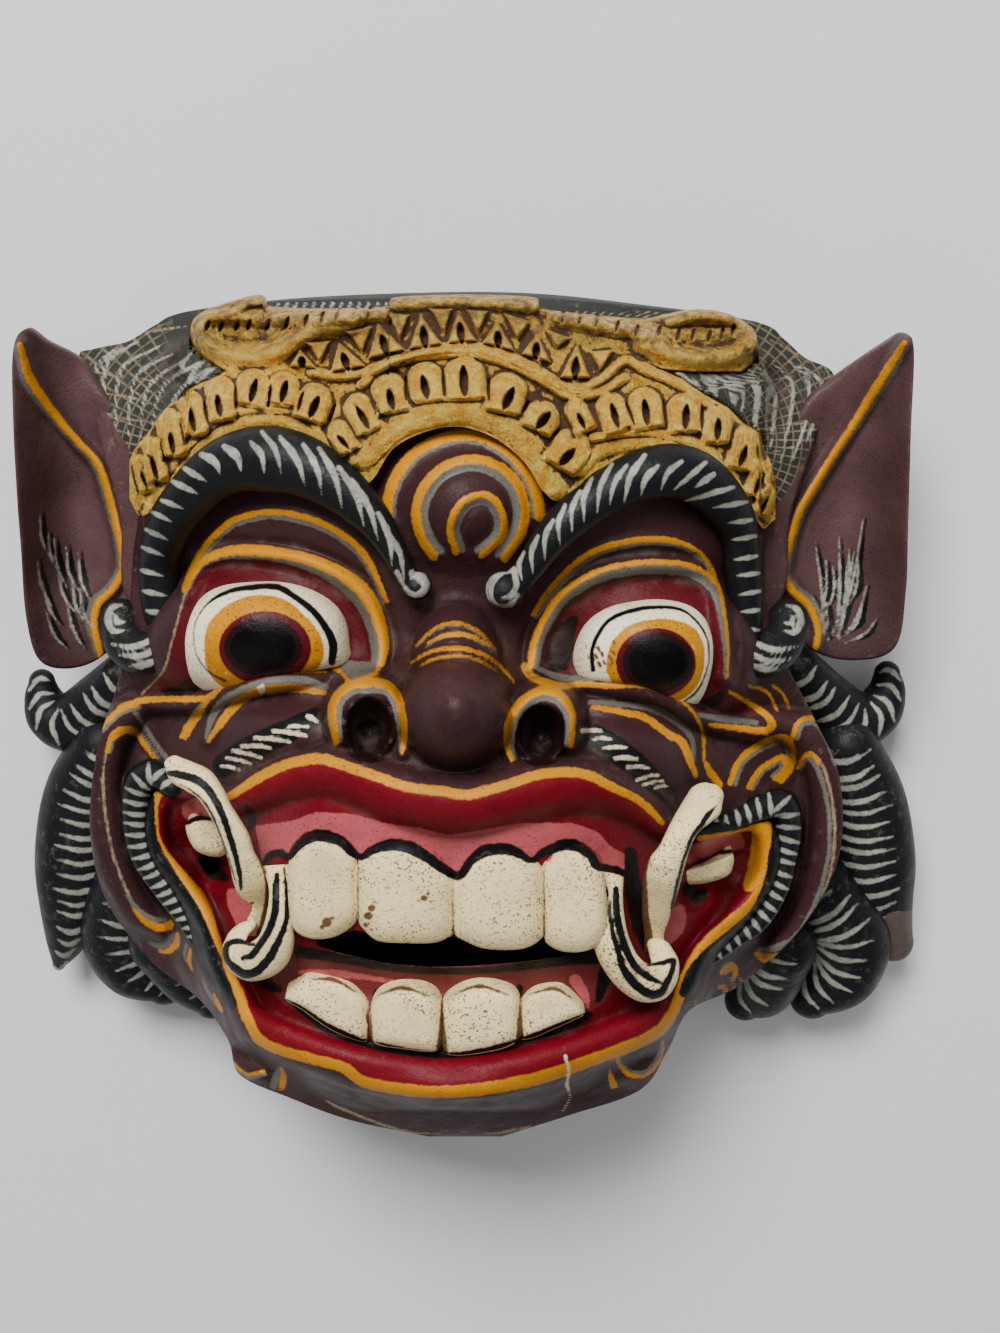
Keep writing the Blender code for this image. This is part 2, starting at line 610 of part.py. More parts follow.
def wall_feet(outline, centre, height, around=360):
    """Where a relief's walls meet the rim plane, from the middle of the mask."""
    edge = even_edge(outline, around)
    rim = place(edge[:, 0], edge[:, 1], height(edge))
    return list(walls(rim, place(*centre, 100), 0.0, PULL))[-1][:, :2] - MIDDLE


def hollow(around=44, rings=7):
    """The space behind the face. It follows the front at the wall's thickness, inside the flat rim."""
    feet = np.concatenate([wall_feet(FACE_EDGE, FACE_CENTRE, face_form), wall_feet(CAP_EDGE, CAP_CENTRE, cap_form)])
    turn = np.linspace(-math.pi, math.pi, around, endpoint=False)
    apart = np.abs((np.arctan2(feet[:, 1], feet[:, 0]) - turn[:, None] + math.pi) % (2 * math.pi) - math.pi)
    reach = np.where(apart < 0.09, np.hypot(*feet.T), 0).max(1) - RIM
    ceiling = []
    for share in np.linspace(0, 1, rings + 1)[1:]:
        across = MIDDLE + (share * reach)[:, None] * np.stack([np.cos(turn), np.sin(turn)], -1)
        z = np.full(around, 90.0)
        for _ in range(12):
            z = np.maximum(shell_form(seen(np.c_[across, z * UNIT])) - WALL / UNIT, 16)
        ceiling.append(np.c_[across, z * UNIT])
    floor = ceiling[-1].copy()
    floor[:, 2] = -0.02
    return skin("hollow", ceiling + [floor])


def colour(piece):
    """Dark red paint on wood."""
    paint = bpy.data.materials.new("maroon_paint")
    paint.use_nodes = True
    shader = paint.node_tree.nodes["Principled BSDF"]
    shader.inputs["Base Color"].default_value = (0.055, 0.023, 0.027, 1)
    shader.inputs["Roughness"].default_value = 0.45
    piece.data.materials.clear()
    piece.data.materials.append(paint)


def build():
    for old in list(bpy.data.objects):
        bpy.data.objects.remove(old)
    pieces = [
        relief("face", FACE_EDGE, FACE_CENTRE, face_height, pull=PULL),
        relief("crown", CROWN_EDGE, CROWN_CENTRE, crown_height, foot=50 * UNIT, rings=50),
        relief("cap", CAP_EDGE, CAP_CENTRE, cap_form, pull=PULL, rings=40),
    ]
    for side in ("left", "right"):
        pieces.append(ear(side))
        for kind, rods in (("fang", UPPER_FANGS), ("tusk", TUSKS), ("ribbon", RIBBONS), ("curl", TEMPLE_CURLS)):
            pieces.append(rod(kind + "_" + side, rods[side]))
        for k, lock in enumerate(LOCKS[side]):
            pieces.append(rod(f"lock_{side}_{k}", lock))
    for k, (left, top, right, bottom, stands) in enumerate(UPPER_TEETH + LOWER_TEETH + MOLARS):
        pieces.append(tooth(f"tooth_{k}", left, top, right, bottom, stands))
    mask = fuse(pieces, "mask")
    smooth = mask.modifiers.new("smooth", "SMOOTH")
    smooth.factor = 0.5
    smooth.iterations = 2
    thin = mask.modifiers.new("facets", "DECIMATE")
    thin.ratio = 1.0
    bpy.context.view_layer.update()
    fused = len(mask.evaluated_get(bpy.context.evaluated_depsgraph_get()).data.loop_triangles)
    thin.ratio = min(1.0, FACETS / max(fused, 1))
    thin.use_collapse_triangulate = True
    cut(mask, "hollow_cut", hollow())
    cut(mask, "mouth_cut", mouth_slot())
    cut(mask, "rim_cut", box("below", (-MASK_WIDTH, -MASK_WIDTH, -0.2), (MASK_WIDTH, MASK_WIDTH, 0.0)))
    colour(mask)


build()
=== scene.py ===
"""The looks of a carved and painted barong mask that lies on its back.

Every piece is carved wood on the one body. Places are drawn as the eye sees them, in a picture of the
mask, each with a height above the rim plane, and the paint is drawn in the same picture. Heights and widths
are in drawing units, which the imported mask's width sets.
"""

import math

import bpy
import numpy as np
from mathutils import Matrix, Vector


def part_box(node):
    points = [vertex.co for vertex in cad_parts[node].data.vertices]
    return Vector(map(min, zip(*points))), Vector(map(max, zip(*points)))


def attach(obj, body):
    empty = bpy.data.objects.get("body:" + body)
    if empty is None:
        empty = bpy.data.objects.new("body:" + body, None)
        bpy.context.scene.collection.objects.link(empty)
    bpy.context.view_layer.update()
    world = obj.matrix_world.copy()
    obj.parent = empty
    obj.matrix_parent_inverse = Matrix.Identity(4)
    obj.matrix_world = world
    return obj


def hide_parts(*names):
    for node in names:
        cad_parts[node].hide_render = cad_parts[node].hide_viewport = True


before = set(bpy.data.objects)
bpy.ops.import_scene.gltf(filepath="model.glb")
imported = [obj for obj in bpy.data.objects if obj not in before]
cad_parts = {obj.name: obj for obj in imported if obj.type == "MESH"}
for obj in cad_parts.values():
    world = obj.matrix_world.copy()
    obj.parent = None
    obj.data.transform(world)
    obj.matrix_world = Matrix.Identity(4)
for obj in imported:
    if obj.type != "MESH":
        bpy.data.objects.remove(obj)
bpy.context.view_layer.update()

# The drawn mask is this many drawing units wide, from ear to ear. A unit is in metres
DRAWN_WIDTH = 340.8
LOW, HIGH = (np.array(corner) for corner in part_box("mask"))
UNIT = float(HIGH[0] - LOW[0]) / DRAWN_WIDTH

# In drawing units: the wood round the hollow, the flat rim, the ears in their middle, and the crown's edge
WALL = 12.0
RIM = 14.0
EAR_THICKNESS = 11.0
CROWN_EDGE = 8.0

# The middle of the rim plane in metres. Walls draw in by the share PULL of the way to their piece's middle,
# whose place is taken at this height
MIDDLE = np.array((-4.5, -5.1)) * UNIT
PULL = 0.10
WALL_BASE = 100.0

# The hollow: the height its ceiling is first sought at, in how many rounds, and its least height, how far
# below the rim plane it is cut, and how near, in radians, a direction has to be for the wall there to count
CEILING_GUESS = 90.0
CEILING_ROUNDS = 12
CEILING_LEAST = 16.0
HOLLOW_FOOT = -20.0
NEAR_TURN = 0.09

# The eye that the carving is drawn for: picture size and focal length in pixels, the rest in drawing units
PICTURE_WIDTH, PICTURE_HEIGHT = 1000.0, 1333.0
FOCAL_PX = 1925.0
EYE_DISTANCE = 655.0
EYE_TILT = math.radians(17.0)
EYE_TARGET = (9.5, 22.8, 90.0)
SIN_TILT, COS_TILT = math.sin(EYE_TILT), math.cos(EYE_TILT)
EYE = np.array(EYE_TARGET) + EYE_DISTANCE * np.array((0.0, SIN_TILT, COS_TILT))
SENSOR_MM = 36.0

# The sides, each with 1 or -1 for the way that mirrored strokes turn
TURNS = {"left": 1, "right": -1}
SIDES = tuple(TURNS)

# In pixels: the distance that stands for no paint near, and how far beyond a mark it is still measured
FAR = 40.0
MARGIN = 9.0

# A dome is worked out to this share of its greater radius, and falls by this much a radius outside its edge
DOME_REACH = 1.6
DOME_FALL = 40.0


# Places in the picture

def place(px, py, height):
    """Points in metres, this high in drawing units, that the eye sees at the picture place (px, py)."""
    across = np.asarray(px, float) - PICTURE_WIDTH / 2
    down = np.asarray(py, float) - PICTURE_HEIGHT / 2
    z = np.asarray(height, float)
    share = (z - EYE[2]) / (down * SIN_TILT - FOCAL_PX * COS_TILT)
    y = EYE[1] - share * (FOCAL_PX * SIN_TILT + down * COS_TILT)
    return UNIT * np.stack(np.broadcast_arrays(EYE[0] + share * across, y, z), -1)


def seen(points):
    """Where the eye sees points given in metres, as picture places."""
    way = points / UNIT - EYE
    depth = -(way[:, 1] * SIN_TILT + way[:, 2] * COS_TILT)
    rise = way[:, 1] * COS_TILT - way[:, 2] * SIN_TILT
    px = PICTURE_WIDTH / 2 + FOCAL_PX * way[:, 0] / depth
    py = PICTURE_HEIGHT / 2 - FOCAL_PX * rise / depth
    return np.stack([px, py], -1)


def spline(points, steps=8, closed=False):
    """A smooth curve through points of any number of values, with this many steps from one to the next."""
    p = np.asarray(points, float)
    if closed:
        p = np.concatenate([p[-1:], p, p[:2]])
    else:
        p = np.concatenate([2 * p[:1] - p[1:2], p, 2 * p[-1:] - p[-2:-1]])
    t = (np.arange(steps) / steps)[:, None]
    runs = []
    for a, b, c, d in zip(p[:-3], p[1:-2], p[2:-1], p[3:]):
        runs.append(b + (c - a) * t / 2 + (2 * a - 5 * b + 4 * c - d) * t**2 / 2
                    + (3 * b - a - 3 * c + d) * t**3 / 2)
    if not closed:
        runs.append(p[-2:-1])
    return np.concatenate(runs)


def nearest(uv, path):
    """How far each place is from a path, in pixels, and how far along the path it is, from 0 to 1."""
    best = np.full(len(uv), 1e9)
    along = np.zeros(len(uv))
    for k, (a, b) in enumerate(zip(path[:-1], path[1:])):
        run = b - a
        t = np.clip((uv - a) @ run / max(run @ run, 1e-9), 0, 1)
        gap = np.hypot(*(uv - a - t[:, None] * run).T)
        closer = gap < best
        best[closer] = gap[closer]
        along[closer] = (k + t[closer]) / (len(path) - 1)
    return best, along


def close_to(uv, low, high, reach):
    """The indices of the places inside a box widened by reach."""
    inside = (uv > np.asarray(low) - reach) & (uv < np.asarray(high) + reach)
    return np.nonzero(inside.all(1))[0]


def spread(values, along):
    """A value that runs along a path through evenly spaced ones."""
    values = np.atleast_1d(np.asarray(values, float))
    return np.interp(along, np.linspace(0, 1, len(values)), values)


def beside(path, shift):
    """A path drawn beside another, on the right hand of someone who walks it where shift is positive."""
    path = spline(path, 4)[:, :2]
    ahead = np.gradient(path, axis=0)
    ahead /= np.hypot(*ahead.T)[:, None]
    right = np.stack([-ahead[:, 1], ahead[:, 0]], -1)
    return path + spread(shift, np.linspace(0, 1, len(path)))[:, None] * right


def inside_of(uv, edge):
    """Which places lie inside a closed run of corners, whose last one is its first."""
    inside = np.zeros(len(uv), bool)
    x, y = uv.T
    for a, b in zip(edge[:-1], edge[1:]):
        crosses = (a[1] > y) != (b[1] > y)
        if crosses.any():
            inside ^= crosses & (x < (b[0] - a[0]) * (y - a[1]) / (b[1] - a[1] + 1e-12) + a[0])
    return inside


def round_outline(centre, radii, count=24):
    """Points of an oval in the picture."""
    turn = np.linspace(0, 2 * math.pi, count, endpoint=False)
    return np.stack([centre[0] + radii[0] * np.cos(turn), centre[1] + radii[1] * np.sin(turn)], -1)


def chance(k, turn=0):
    """An even spread of numbers from 0 to 1 that looks random and is the same each run."""
    return (math.sin(12.9898 * k + 78.233 * turn) * 43758.5453) % 1.0


# Heights of the carving

def higher(a, b, blend):
    """The greater of two heights, with a fillet of about this size between them."""
    return np.maximum(a, b) + np.maximum(blend - np.abs(a - b), 0) ** 2 / (4 * blend)


def ridge(h, uv, path, half, rise, power=2.0):
    """Adds a ridge along a path, or a groove where rise is negative. half is its half width in pixels."""
    path = spline(path)
    near = close_to(uv, path.min(0), path.max(0), np.max(half))
    gap, along = nearest(uv[near], path)
    h[near] += spread(rise, along) * np.clip(1 - (gap / spread(half, along)) ** 2, 0, 1) ** power


def oval(uv, centre, radii, turn=0.0):
    """The square of the distance from an oval's centre, with 1 at its edge. turn is in degrees, clockwise."""
    c, s = math.cos(math.radians(turn)), math.sin(math.radians(turn))
    x, y = (uv - centre).T
    return ((x * c + y * s) / radii[0]) ** 2 + ((y * c - x * s) / radii[1]) ** 2


def mound(h, uv, centre, radii, rise, turn=0.0, power=2.0):
    """Adds an oval mound, or a hollow where rise is negative."""
    near = close_to(uv, centre, centre, max(radii))
    h[near] += rise * np.clip(1 - oval(uv[near], centre, radii, turn), 0, 1) ** power


def dome(h, uv, centre, radii, foot, top, turn=0.0, blend=4.0):
    """Raises the surface to an ellipsoid that stands on height foot and reaches height top."""
    near = close_to(uv, centre, centre, DOME_REACH * max(radii))
    r = oval(uv[near], centre, radii, turn)
    cap = foot + (top - foot) * np.sqrt(np.clip(1 - r, 0, 1))
    h[near] = higher(h[near], np.where(r < 1, cap, foot - DOME_FALL * (np.sqrt(r) - 1)), blend)


def bar(h, uv, path, half, depth, blend=3.0):
    """Raises the surface to a half-round bar. Its path has the crest's height as a third value."""
    path = spline(path)
    near = close_to(uv, path[:, :2].min(0), path[:, :2].max(0), 1.3 * np.max(half))
    gap, along = nearest(uv[near], path[:, :2])
    r = gap / spread(half, along)
    crest = spread(path[:, 2], along)
    form = crest - depth * np.where(r < 1, 1 - np.sqrt(np.clip(1 - r**2, 0, 1)), 1 + 2 * (r - 1))
    h[near] = higher(h[near], form, blend)


def thin_plate(marks):
    """A function that gives a smooth height through marks of (picture x, picture y, height)."""
    marks = np.asarray(marks, float)
    at, count = marks[:, :2] / PICTURE_WIDTH, len(marks)

    def kernel(a, b):
        square = ((a[:, None] - b[None]) ** 2).sum(2)
        return square * np.log(square + 1e-12)

    flat = np.c_[np.ones(count), at]
    whole = np.block([[kernel(at, at) + 1e-4 * np.eye(count), flat], [flat.T, np.zeros((3, 3))]])
    weights = np.linalg.solve(whole, np.r_[marks[:, 2], np.zeros(3)])

    def height(uv):
        q = uv / PICTURE_WIDTH
        return kernel(q, at) @ weights[:count] + np.c_[np.ones(len(q)), q] @ weights[count:]

    return height


# Solids

def linked(name, data):
    """An object for a mesh, lamp or camera, put in the scene."""
    thing = bpy.data.objects.new(name, data)
    bpy.context.scene.collection.objects.link(thing)
    return thing


def solid(name, points, faces):
    """A smooth mesh piece."""
    mesh = bpy.data.meshes.new(name)
    mesh.from_pydata(np.asarray(points).tolist(), [], faces)
    mesh.validate()
    mesh.shade_smooth()
    return linked(name, mesh)


def skin_faces(count, around):
    """Quads between rings of points, and a fan at each end round a point in its middle."""
    k = np.arange(around)
    after = np.roll(k, -1)
    rows = (np.arange(count - 1) * around)[:, None]
    quads = np.stack([rows + k, rows + after, rows + around + after, rows + around + k], -1).reshape(-1, 4)
    last = (count - 1) * around
    faces = quads.tolist()
    faces += [(count * around, int(b), int(a)) for a, b in zip(k, after)]
    faces += [(count * around + 1, last + int(a), last + int(b)) for a, b in zip(k, after)]
    return faces


def skin(name, rings):
    """A closed piece through rings of points."""
    rings = np.asarray(rings)
    points = np.concatenate([rings.reshape(-1, 3), rings[:1].mean(1), rings[-1:].mean(1)])
    piece = solid(name, points, skin_faces(*rings.shape[:2]))
    face_out(piece)
    return piece


def face_out(piece):
    """Turns a closed piece's faces outwards."""
    mesh = piece.data
    mesh.calc_loop_triangles()
    co = coordinates(mesh)
    tri = np.empty(3 * len(mesh.loop_triangles), int)
    mesh.loop_triangles.foreach_get("vertices", tri)
    a, b, c = (co[tri[n::3]] for n in range(3))
    if np.einsum("ij,ij->", a, np.cross(b, c)) < 0:
        mesh.flip_normals()


def coordinates(mesh):
    """A mesh's vertices as an array."""
    flat = np.empty(3 * len(mesh.vertices))
    mesh.vertices.foreach_get("co", flat)
    return flat.reshape(-1, 3)


def even_edge(outline, around):
    """Evenly spaced places along a smooth closed outline."""
    edge = spline([p[:2] for p in outline], 12, closed=True)
    run = np.r_[0, np.cumsum(np.hypot(*np.diff(np.r_[edge, edge[:1]], axis=0).T))]
    even = np.linspace(0, run[-1], around, endpoint=False)
    return np.stack([np.interp(even, run, np.r_[edge[:, k], edge[0, k]]) for k in (0, 1)], -1)


def walls(rim, middle, foot, pull, steps=6):
    """Rings that run from a rim down to height foot, drawn in towards the middle by the share pull."""
    for share in np.linspace(0, 1, steps + 1)[1:]:
        ring = rim.copy()
        ring[:, :2] += (middle[:2] - rim[:, :2]) * pull * share**1.5
        ring[:, 2] = rim[:, 2] + (foot * UNIT - rim[:, 2]) * share
        yield ring


def relief(name, outline, centre, height, foot=0.0, pull=0.0, around=240, rings=60):
    """A solid with a carved front inside an outline in the picture, and walls down to height foot.

    height takes the places and their share of the way from the centre to the outline."""
    edge = even_edge(outline, around)
    front = []
    for share in np.linspace(0, 1, rings + 1)[1:]:
        uv = np.asarray(centre) + (edge - centre) * share
        front.append(place(uv[:, 0], uv[:, 1], height(uv, share)))
    return skin(name, front + list(walls(front[-1], front[0].mean(0), foot, pull)))


def carved_sheet(name, first, last, height, across, foot=0.0, pull=0.0, thickness=None):
    """A solid with a carved front between two curves in the picture that have as many points as each other.

    Its walls go down to height foot, or this thickness below the front's edge."""
    t = np.linspace(0, 1, across)[None, :, None]
    grid = first[:, None] * (1 - t) + last[:, None] * t
    rows = len(first)
    uv = grid.reshape(-1, 2)
    points = place(uv[:, 0], uv[:, 1], height(uv))
    index = np.arange(rows * across).reshape(rows, across)
    quads = np.stack([index[:-1, :-1], index[:-1, 1:], index[1:, 1:], index[1:, :-1]], -1).reshape(-1, 4)
    rim = np.concatenate([index[0, :-1], index[:-1, -1], index[-1, :0:-1], index[:0:-1, 0]])
    faces = quads.tolist()
    made, previous = [points], rim
    foot = foot if thickness is None else points[rim][:, 2] / UNIT - thickness
    for ring in walls(points[rim], place(*FACE_CENTRE, WALL_BASE), foot, pull):
        start = sum(len(part) for part in made)
        now = start + np.arange(len(rim))
        faces += np.stack([previous, now, np.roll(now, -1), np.roll(previous, -1)], -1).tolist()
        made.append(ring)
        previous = now
    faces.append(previous[::-1].tolist())
    a, b, c = (points[quads[:, k]] for k in range(3))
    if np.cross(b - a, c - a)[:, 2].sum() < 0:
        faces = [face[::-1] for face in faces]
    return solid(name, np.concatenate(made), faces)


def plate(name, outline, height, thickness, around=200, rings=50):
    """A leaf inside an outline in the picture, this thick in the middle and thinner at its edge."""
    edge = even_edge(outline, around)
    centre = edge.mean(0)
    front, back = [], []
    for share in np.linspace(0, 1, rings + 1)[1:] ** 0.9:
        uv = centre + (edge - centre) * share
        rounding = 1.6 * share**24
        front.append(place(uv[:, 0], uv[:, 1], height(uv) - rounding))
        back.append(front[-1] - (0, 0, UNIT * (thickness * (1 - 0.3 * share**6) - 2 * rounding)))
    return skin(name, front + back[::-1])


def rod_rings(path, around, steps, flat=1.0, groove=None):
    """Rings of a rod with round ends through points of (picture x, picture y, height, half width)."""
    line = spline(path, steps)
    axis = place(line[:, 0], line[:, 1], line[:, 2])
    size = np.maximum(line[:, 3], 0.3) * UNIT
    ahead = np.gradient(axis, axis=0)
    ahead /= np.linalg.norm(ahead, axis=1)[:, None]
    to_eye = EYE * UNIT - axis
    out = to_eye - ahead * np.einsum("ij,ij->i", to_eye, ahead)[:, None]
    out /= np.linalg.norm(out, axis=1)[:, None]
    side = np.cross(ahead, out)
    turn = np.linspace(0, 2 * math.pi, around, endpoint=False)
    run = np.r_[0, np.cumsum(np.linalg.norm(np.diff(axis, axis=0), axis=1))] / UNIT

    def ring(k, scale, shift):
        circle = np.cos(turn)[:, None] * side[k] + flat * np.sin(turn)[:, None] * out[k]
        reach = scale if groove is None else scale * groove(run[k], turn)[:, None]
        return axis[k] + size[k] * (ahead[k] * shift + reach * circle)

    bend = np.radians(np.arange(80, 0, -12))
    rings = [ring(0, math.cos(a), -math.sin(a)) for a in bend]
    rings += [ring(k, 1.0, 0.0) for k in range(len(axis))]
    rings += [ring(-1, math.cos(a), math.sin(a)) for a in bend[::-1]]
    return rings


def rod(name, path, around=32, steps=14, flat=1.0, groove=None):
    """A rod as a piece of its own."""
    return skin(name, rod_rings(path, around, steps, flat, groove))


def joined(name, parts):
    """One piece made of several closed ones."""
    first = parts[0]
    for part in parts:
        part.select_set(True)
    chosen = {"selected_objects": parts, "selected_editable_objects": parts}
    with bpy.context.temp_override(active_object=first, object=first, **chosen):
        bpy.ops.object.join()
    first.name = name
    first.data.name = name
    return first


def finished(piece, *cutters):
    """Takes cutters out of a piece for good and deletes them."""
    for cutter in cutters:
        step = piece.modifiers.new("cut", "BOOLEAN")
        step.operation = "DIFFERENCE"
        step.solver = "EXACT"
        step.object = cutter
    bpy.context.view_layer.update()
    mesh = bpy.data.meshes.new_from_object(piece.evaluated_get(bpy.context.evaluated_depsgraph_get()))
    piece.modifiers.clear()
    piece.data = mesh
    mesh.name = piece.name
    for cutter in cutters:
        bpy.data.objects.remove(cutter)
    mesh.shade_smooth()
    return piece


# Paint

class Paint:
    """Painted marks on a piece.

    They are kept as the distance in pixels from each vertex to the edge of each colour's marks."""

    SMOOTHING_ROUNDS = 24
    GRAZING = -0.05

    def __init__(self, piece, front_only=True):
        self.mesh = piece.data
        points = coordinates(self.mesh)
        self.uv = seen(points)
        self.marks = {}
        normal = np.empty(3 * len(points))
        self.mesh.vertex_normals.foreach_get("vector", normal)
        to_eye = EYE * UNIT - points
        facing = np.einsum("ij,ij->i", normal.reshape(-1, 3), to_eye) / np.linalg.norm(to_eye, axis=1)
        self.shown = facing > self.GRAZING if front_only else np.ones(len(points), bool)
        self.recess(points, normal.reshape(-1, 3))

    def recess(self, points, normal):
        """Keeps how far each vertex lies below the smoothed carving round it, for dirt, wear and painted
        shade.
        """
        edges = np.empty(2 * len(self.mesh.edges), int)
        self.mesh.edges.foreach_get("vertices", edges)
        a, b = edges[::2], edges[1::2]
        size = len(points)
        count = np.maximum(np.bincount(a, minlength=size) + np.bincount(b, minlength=size), 1)
        smooth = points.copy()
        for _ in range(self.SMOOTHING_ROUNDS):
            total = np.zeros_like(smooth)
            for n in range(3):
                total[:, n] = np.bincount(a, smooth[b, n], size) + np.bincount(b, smooth[a, n], size)
            smooth = 0.4 * smooth + 0.6 * total / count[:, None]
        self.keep("recess", np.einsum("ij,ij->i", smooth - points, normal) / UNIT)

    def keep(self, name, values):
        """Writes a value for each vertex."""
        mark = self.mesh.attributes.get(name) or self.mesh.attributes.new(name, "FLOAT", "POINT")
        mark.data.foreach_set("value", values.astype(np.float32))

    def field(self, colour):
        """The distances kept for one colour."""
        return self.marks.setdefault(colour, np.full(len(self.uv), FAR))

    def stroke(self, colour, path, half, steps=6):
        """A brush stroke along a path, with half widths in pixels that run evenly along it."""
        path = spline([p[:2] for p in path], steps)
        near = close_to(self.uv, path.min(0), path.max(0), np.max(half) + MARGIN)
        if len(near):
            gap, along = nearest(self.uv[near], path)
            field = self.field(colour)
            field[near] = np.minimum(field[near], gap - spread(half, along))

    def patch(self, colour, outline, smooth=True):
        """A filled outline."""
        edge = spline(outline, 6, closed=True) if smooth else np.asarray(outline, float)
        edge = np.r_[edge, edge[:1]]
        near = close_to(self.uv, edge.min(0), edge.max(0), MARGIN)
        if len(near):
            uv = self.uv[near]
            gap, _ = nearest(uv, edge)
            field = self.field(colour)
            field[near] = np.minimum(field[near], np.where(inside_of(uv, edge), -gap, gap))

    def trim(self, path, yellow, grey, side=1):
        """A yellow stroke with a grey one beside it, on the right hand where side is 1."""
        count = len(path)
        y, g = (spread(v, np.linspace(0, 1, count)) for v in (yellow, grey))
        self.stroke("grey", beside(path, side * (y + g - 0.6)), g, steps=2)
        self.stroke("yellow", path, y)

    def combed(self, colour, path, width, count, reach, half, lean=0.0, bow=0.0, wild=0.15):
        """Short strokes across a path. reach is where they start and end to the right, as shares of width."""
        line = spline([p[:2] for p in path], 12)
        ahead = np.gradient(line, axis=0)
        ahead /= np.hypot(*ahead.T)[:, None]
        right = np.stack([-ahead[:, 1], ahead[:, 0]], -1)
        run = np.r_[0, np.cumsum(np.hypot(*np.diff(line, axis=0).T))]
        for k in range(count):
            s = (k + 0.5 + wild * (chance(k) - 0.5)) / count
            at, d, r = (np.array([np.interp(s * run[-1], run, values[:, n]) for n in (0, 1)])
                        for values in (line, ahead, right))
            w = spread(width, s)
            r0, r1 = spread(reach[0], s), spread(reach[1], s) * (1 - wild * chance(k, 1))
            slant = spread(lean, s)
            a = at + r * w * r0
            c = at + r * w * r1 + d * slant
            b = (a + c) / 2 + d * (slant * 0.15 + spread(bow, s))
            size = np.asarray(half) * (1 - wild * chance(k, 2))
            self.stroke(colour, [a, b, c], size, steps=4)

    def done(self, layers):
        """Writes the distances of each colour that the piece's material reads."""
        for colour in layers:
            self.keep(colour, np.where(self.shown, self.field(colour), FAR))


# Materials

def srgb(r, g, b):
    """A colour for a shader from 0 to 255 screen values."""

    def linear(v):
        v /= 255
        return v / 12.92 if v <= 0.04045 else ((v + 0.055) / 1.055) ** 2.4

    return linear(r), linear(g), linear(b), 1.0


def darker(colour, share):
    """A colour brought down to this share of its light."""
    return tuple(share * v for v in colour[:3]) + (1.0,)


MAROON = srgb(60, 35, 37)
# The face's maroon made lighter on the ears: painted light
EAR_MAROON_LIT = srgb(84, 60, 60)
BLACK = srgb(24, 26, 28)
CREAM = srgb(255, 233, 174)
EYE_WHITE = srgb(255, 244, 210)
GOLD = srgb(255, 220, 100)
WORN_GOLD = srgb(234, 168, 54)
CAP_GREEN = srgb(50, 53, 48)
# Layers of paint that wear through in spots
RUBBED = ("yellow", "grey", "white", "tan")
COLOURS = {
    # Dark red-brown: the paint round the pupils, and painted shade at the lids and in the nostrils
    "dark": srgb(34, 14, 16),
    "red": srgb(112, 10, 26),
    "lid": srgb(84, 16, 24),
    "pink": srgb(184, 86, 90),
    "grey": srgb(108, 105, 96),
    "yellow": srgb(205, 135, 4),
    "black": srgb(17, 19, 21),
    "pupil": srgb(4, 4, 5),
    # The ears' lighter maroon, painted light, for the ear roots on the head
    "maroon": srgb(84, 60, 60),
    "cream": srgb(232, 218, 186),
    "white": srgb(170, 169, 156),
    "tan": srgb(150, 132, 104),
    "broken": srgb(92, 80, 74),
    "stain": srgb(112, 82, 54),
    # Brown: dirt on the teeth and in their seams, and painted shade along the tusks' inner edges
    "dirt_and_shade": srgb(112, 84, 54),
    # A darker gum colour for the lower gum, as painted shade inside the mouth
    "gum": srgb(106, 40, 42),
    # Near black painted shade: round the gap between the teeth, at the mouth's corners, at the lids' corners
    # and in the nostrils
    "painted_shade": srgb(22, 14, 14),
}


class Nodes:
    """A short way to write a material's nodes."""

    def __init__(self, name):
        self.material = bpy.data.materials.new(name)
        self.material.use_nodes = True
        self.tree = self.material.node_tree
        self.shader = self.tree.nodes["Principled BSDF"]
        self.place = self.add("ShaderNodeTexCoord").outputs["Object"]

    def add(self, kind, inputs=(), **settings):
        """A new node with its inputs joined or set."""
        node = self.tree.nodes.new(kind)
        for key, value in settings.items():
            setattr(node, key, value)
        for key, value in dict(inputs).items():
            self.join(value, node.inputs[key])
        return node

    def join(self, value, socket):
        """Joins another node's output to a socket, or sets the socket's own value."""
        if isinstance(value, bpy.types.NodeSocket):
            self.tree.links.new(value, socket)
        else:
            socket.default_value = value

    def noise(self, scale, detail=3.0, rough=0.55):
        """Cloudy values round 0.5, with a scale in waves per metre."""
        inputs = {"Vector": self.place, "Scale": scale, "Detail": detail, "Roughness": rough}
        return self.add("ShaderNodeTexNoise", inputs).outputs["Fac"]

    def attribute(self, name):
        """A value kept for each vertex."""
        return self.add("ShaderNodeAttribute", attribute_name=name).outputs["Fac"]

    def math(self, operation, a, b=0.0):
        return self.add("ShaderNodeMath", {0: a, 1: b}, operation=operation).outputs[0]

    def times(self, *values):
        """The product of two or more values."""
        product = values[0]
        for value in values[1:]:
            product = self.math("MULTIPLY", product, value)
        return product

    def swing(self, noise, size):
        """Noise that swings evenly about 0, by half this size at most."""
        return self.times(self.math("SUBTRACT", noise, 0.5), size)

    def ramp(self, value, low, high, at_low=0.0, at_high=1.0):
        """A value brought evenly from one range to another, and held at its ends."""
        inputs = {"Value": value, "From Min": low, "From Max": high, "To Min": at_low, "To Max": at_high}
        return self.add("ShaderNodeMapRange", inputs).outputs["Result"]

    def mix(self, share, a, b, blend="MIX"):
        """Colour b laid over colour a by this share."""
        node = self.add("ShaderNodeMix", data_type="RGBA", blend_type=blend)
        self.join(share, node.inputs[0])
        self.join(a, node.inputs[6])
        self.join(b, node.inputs[7])
        return node.outputs[2]


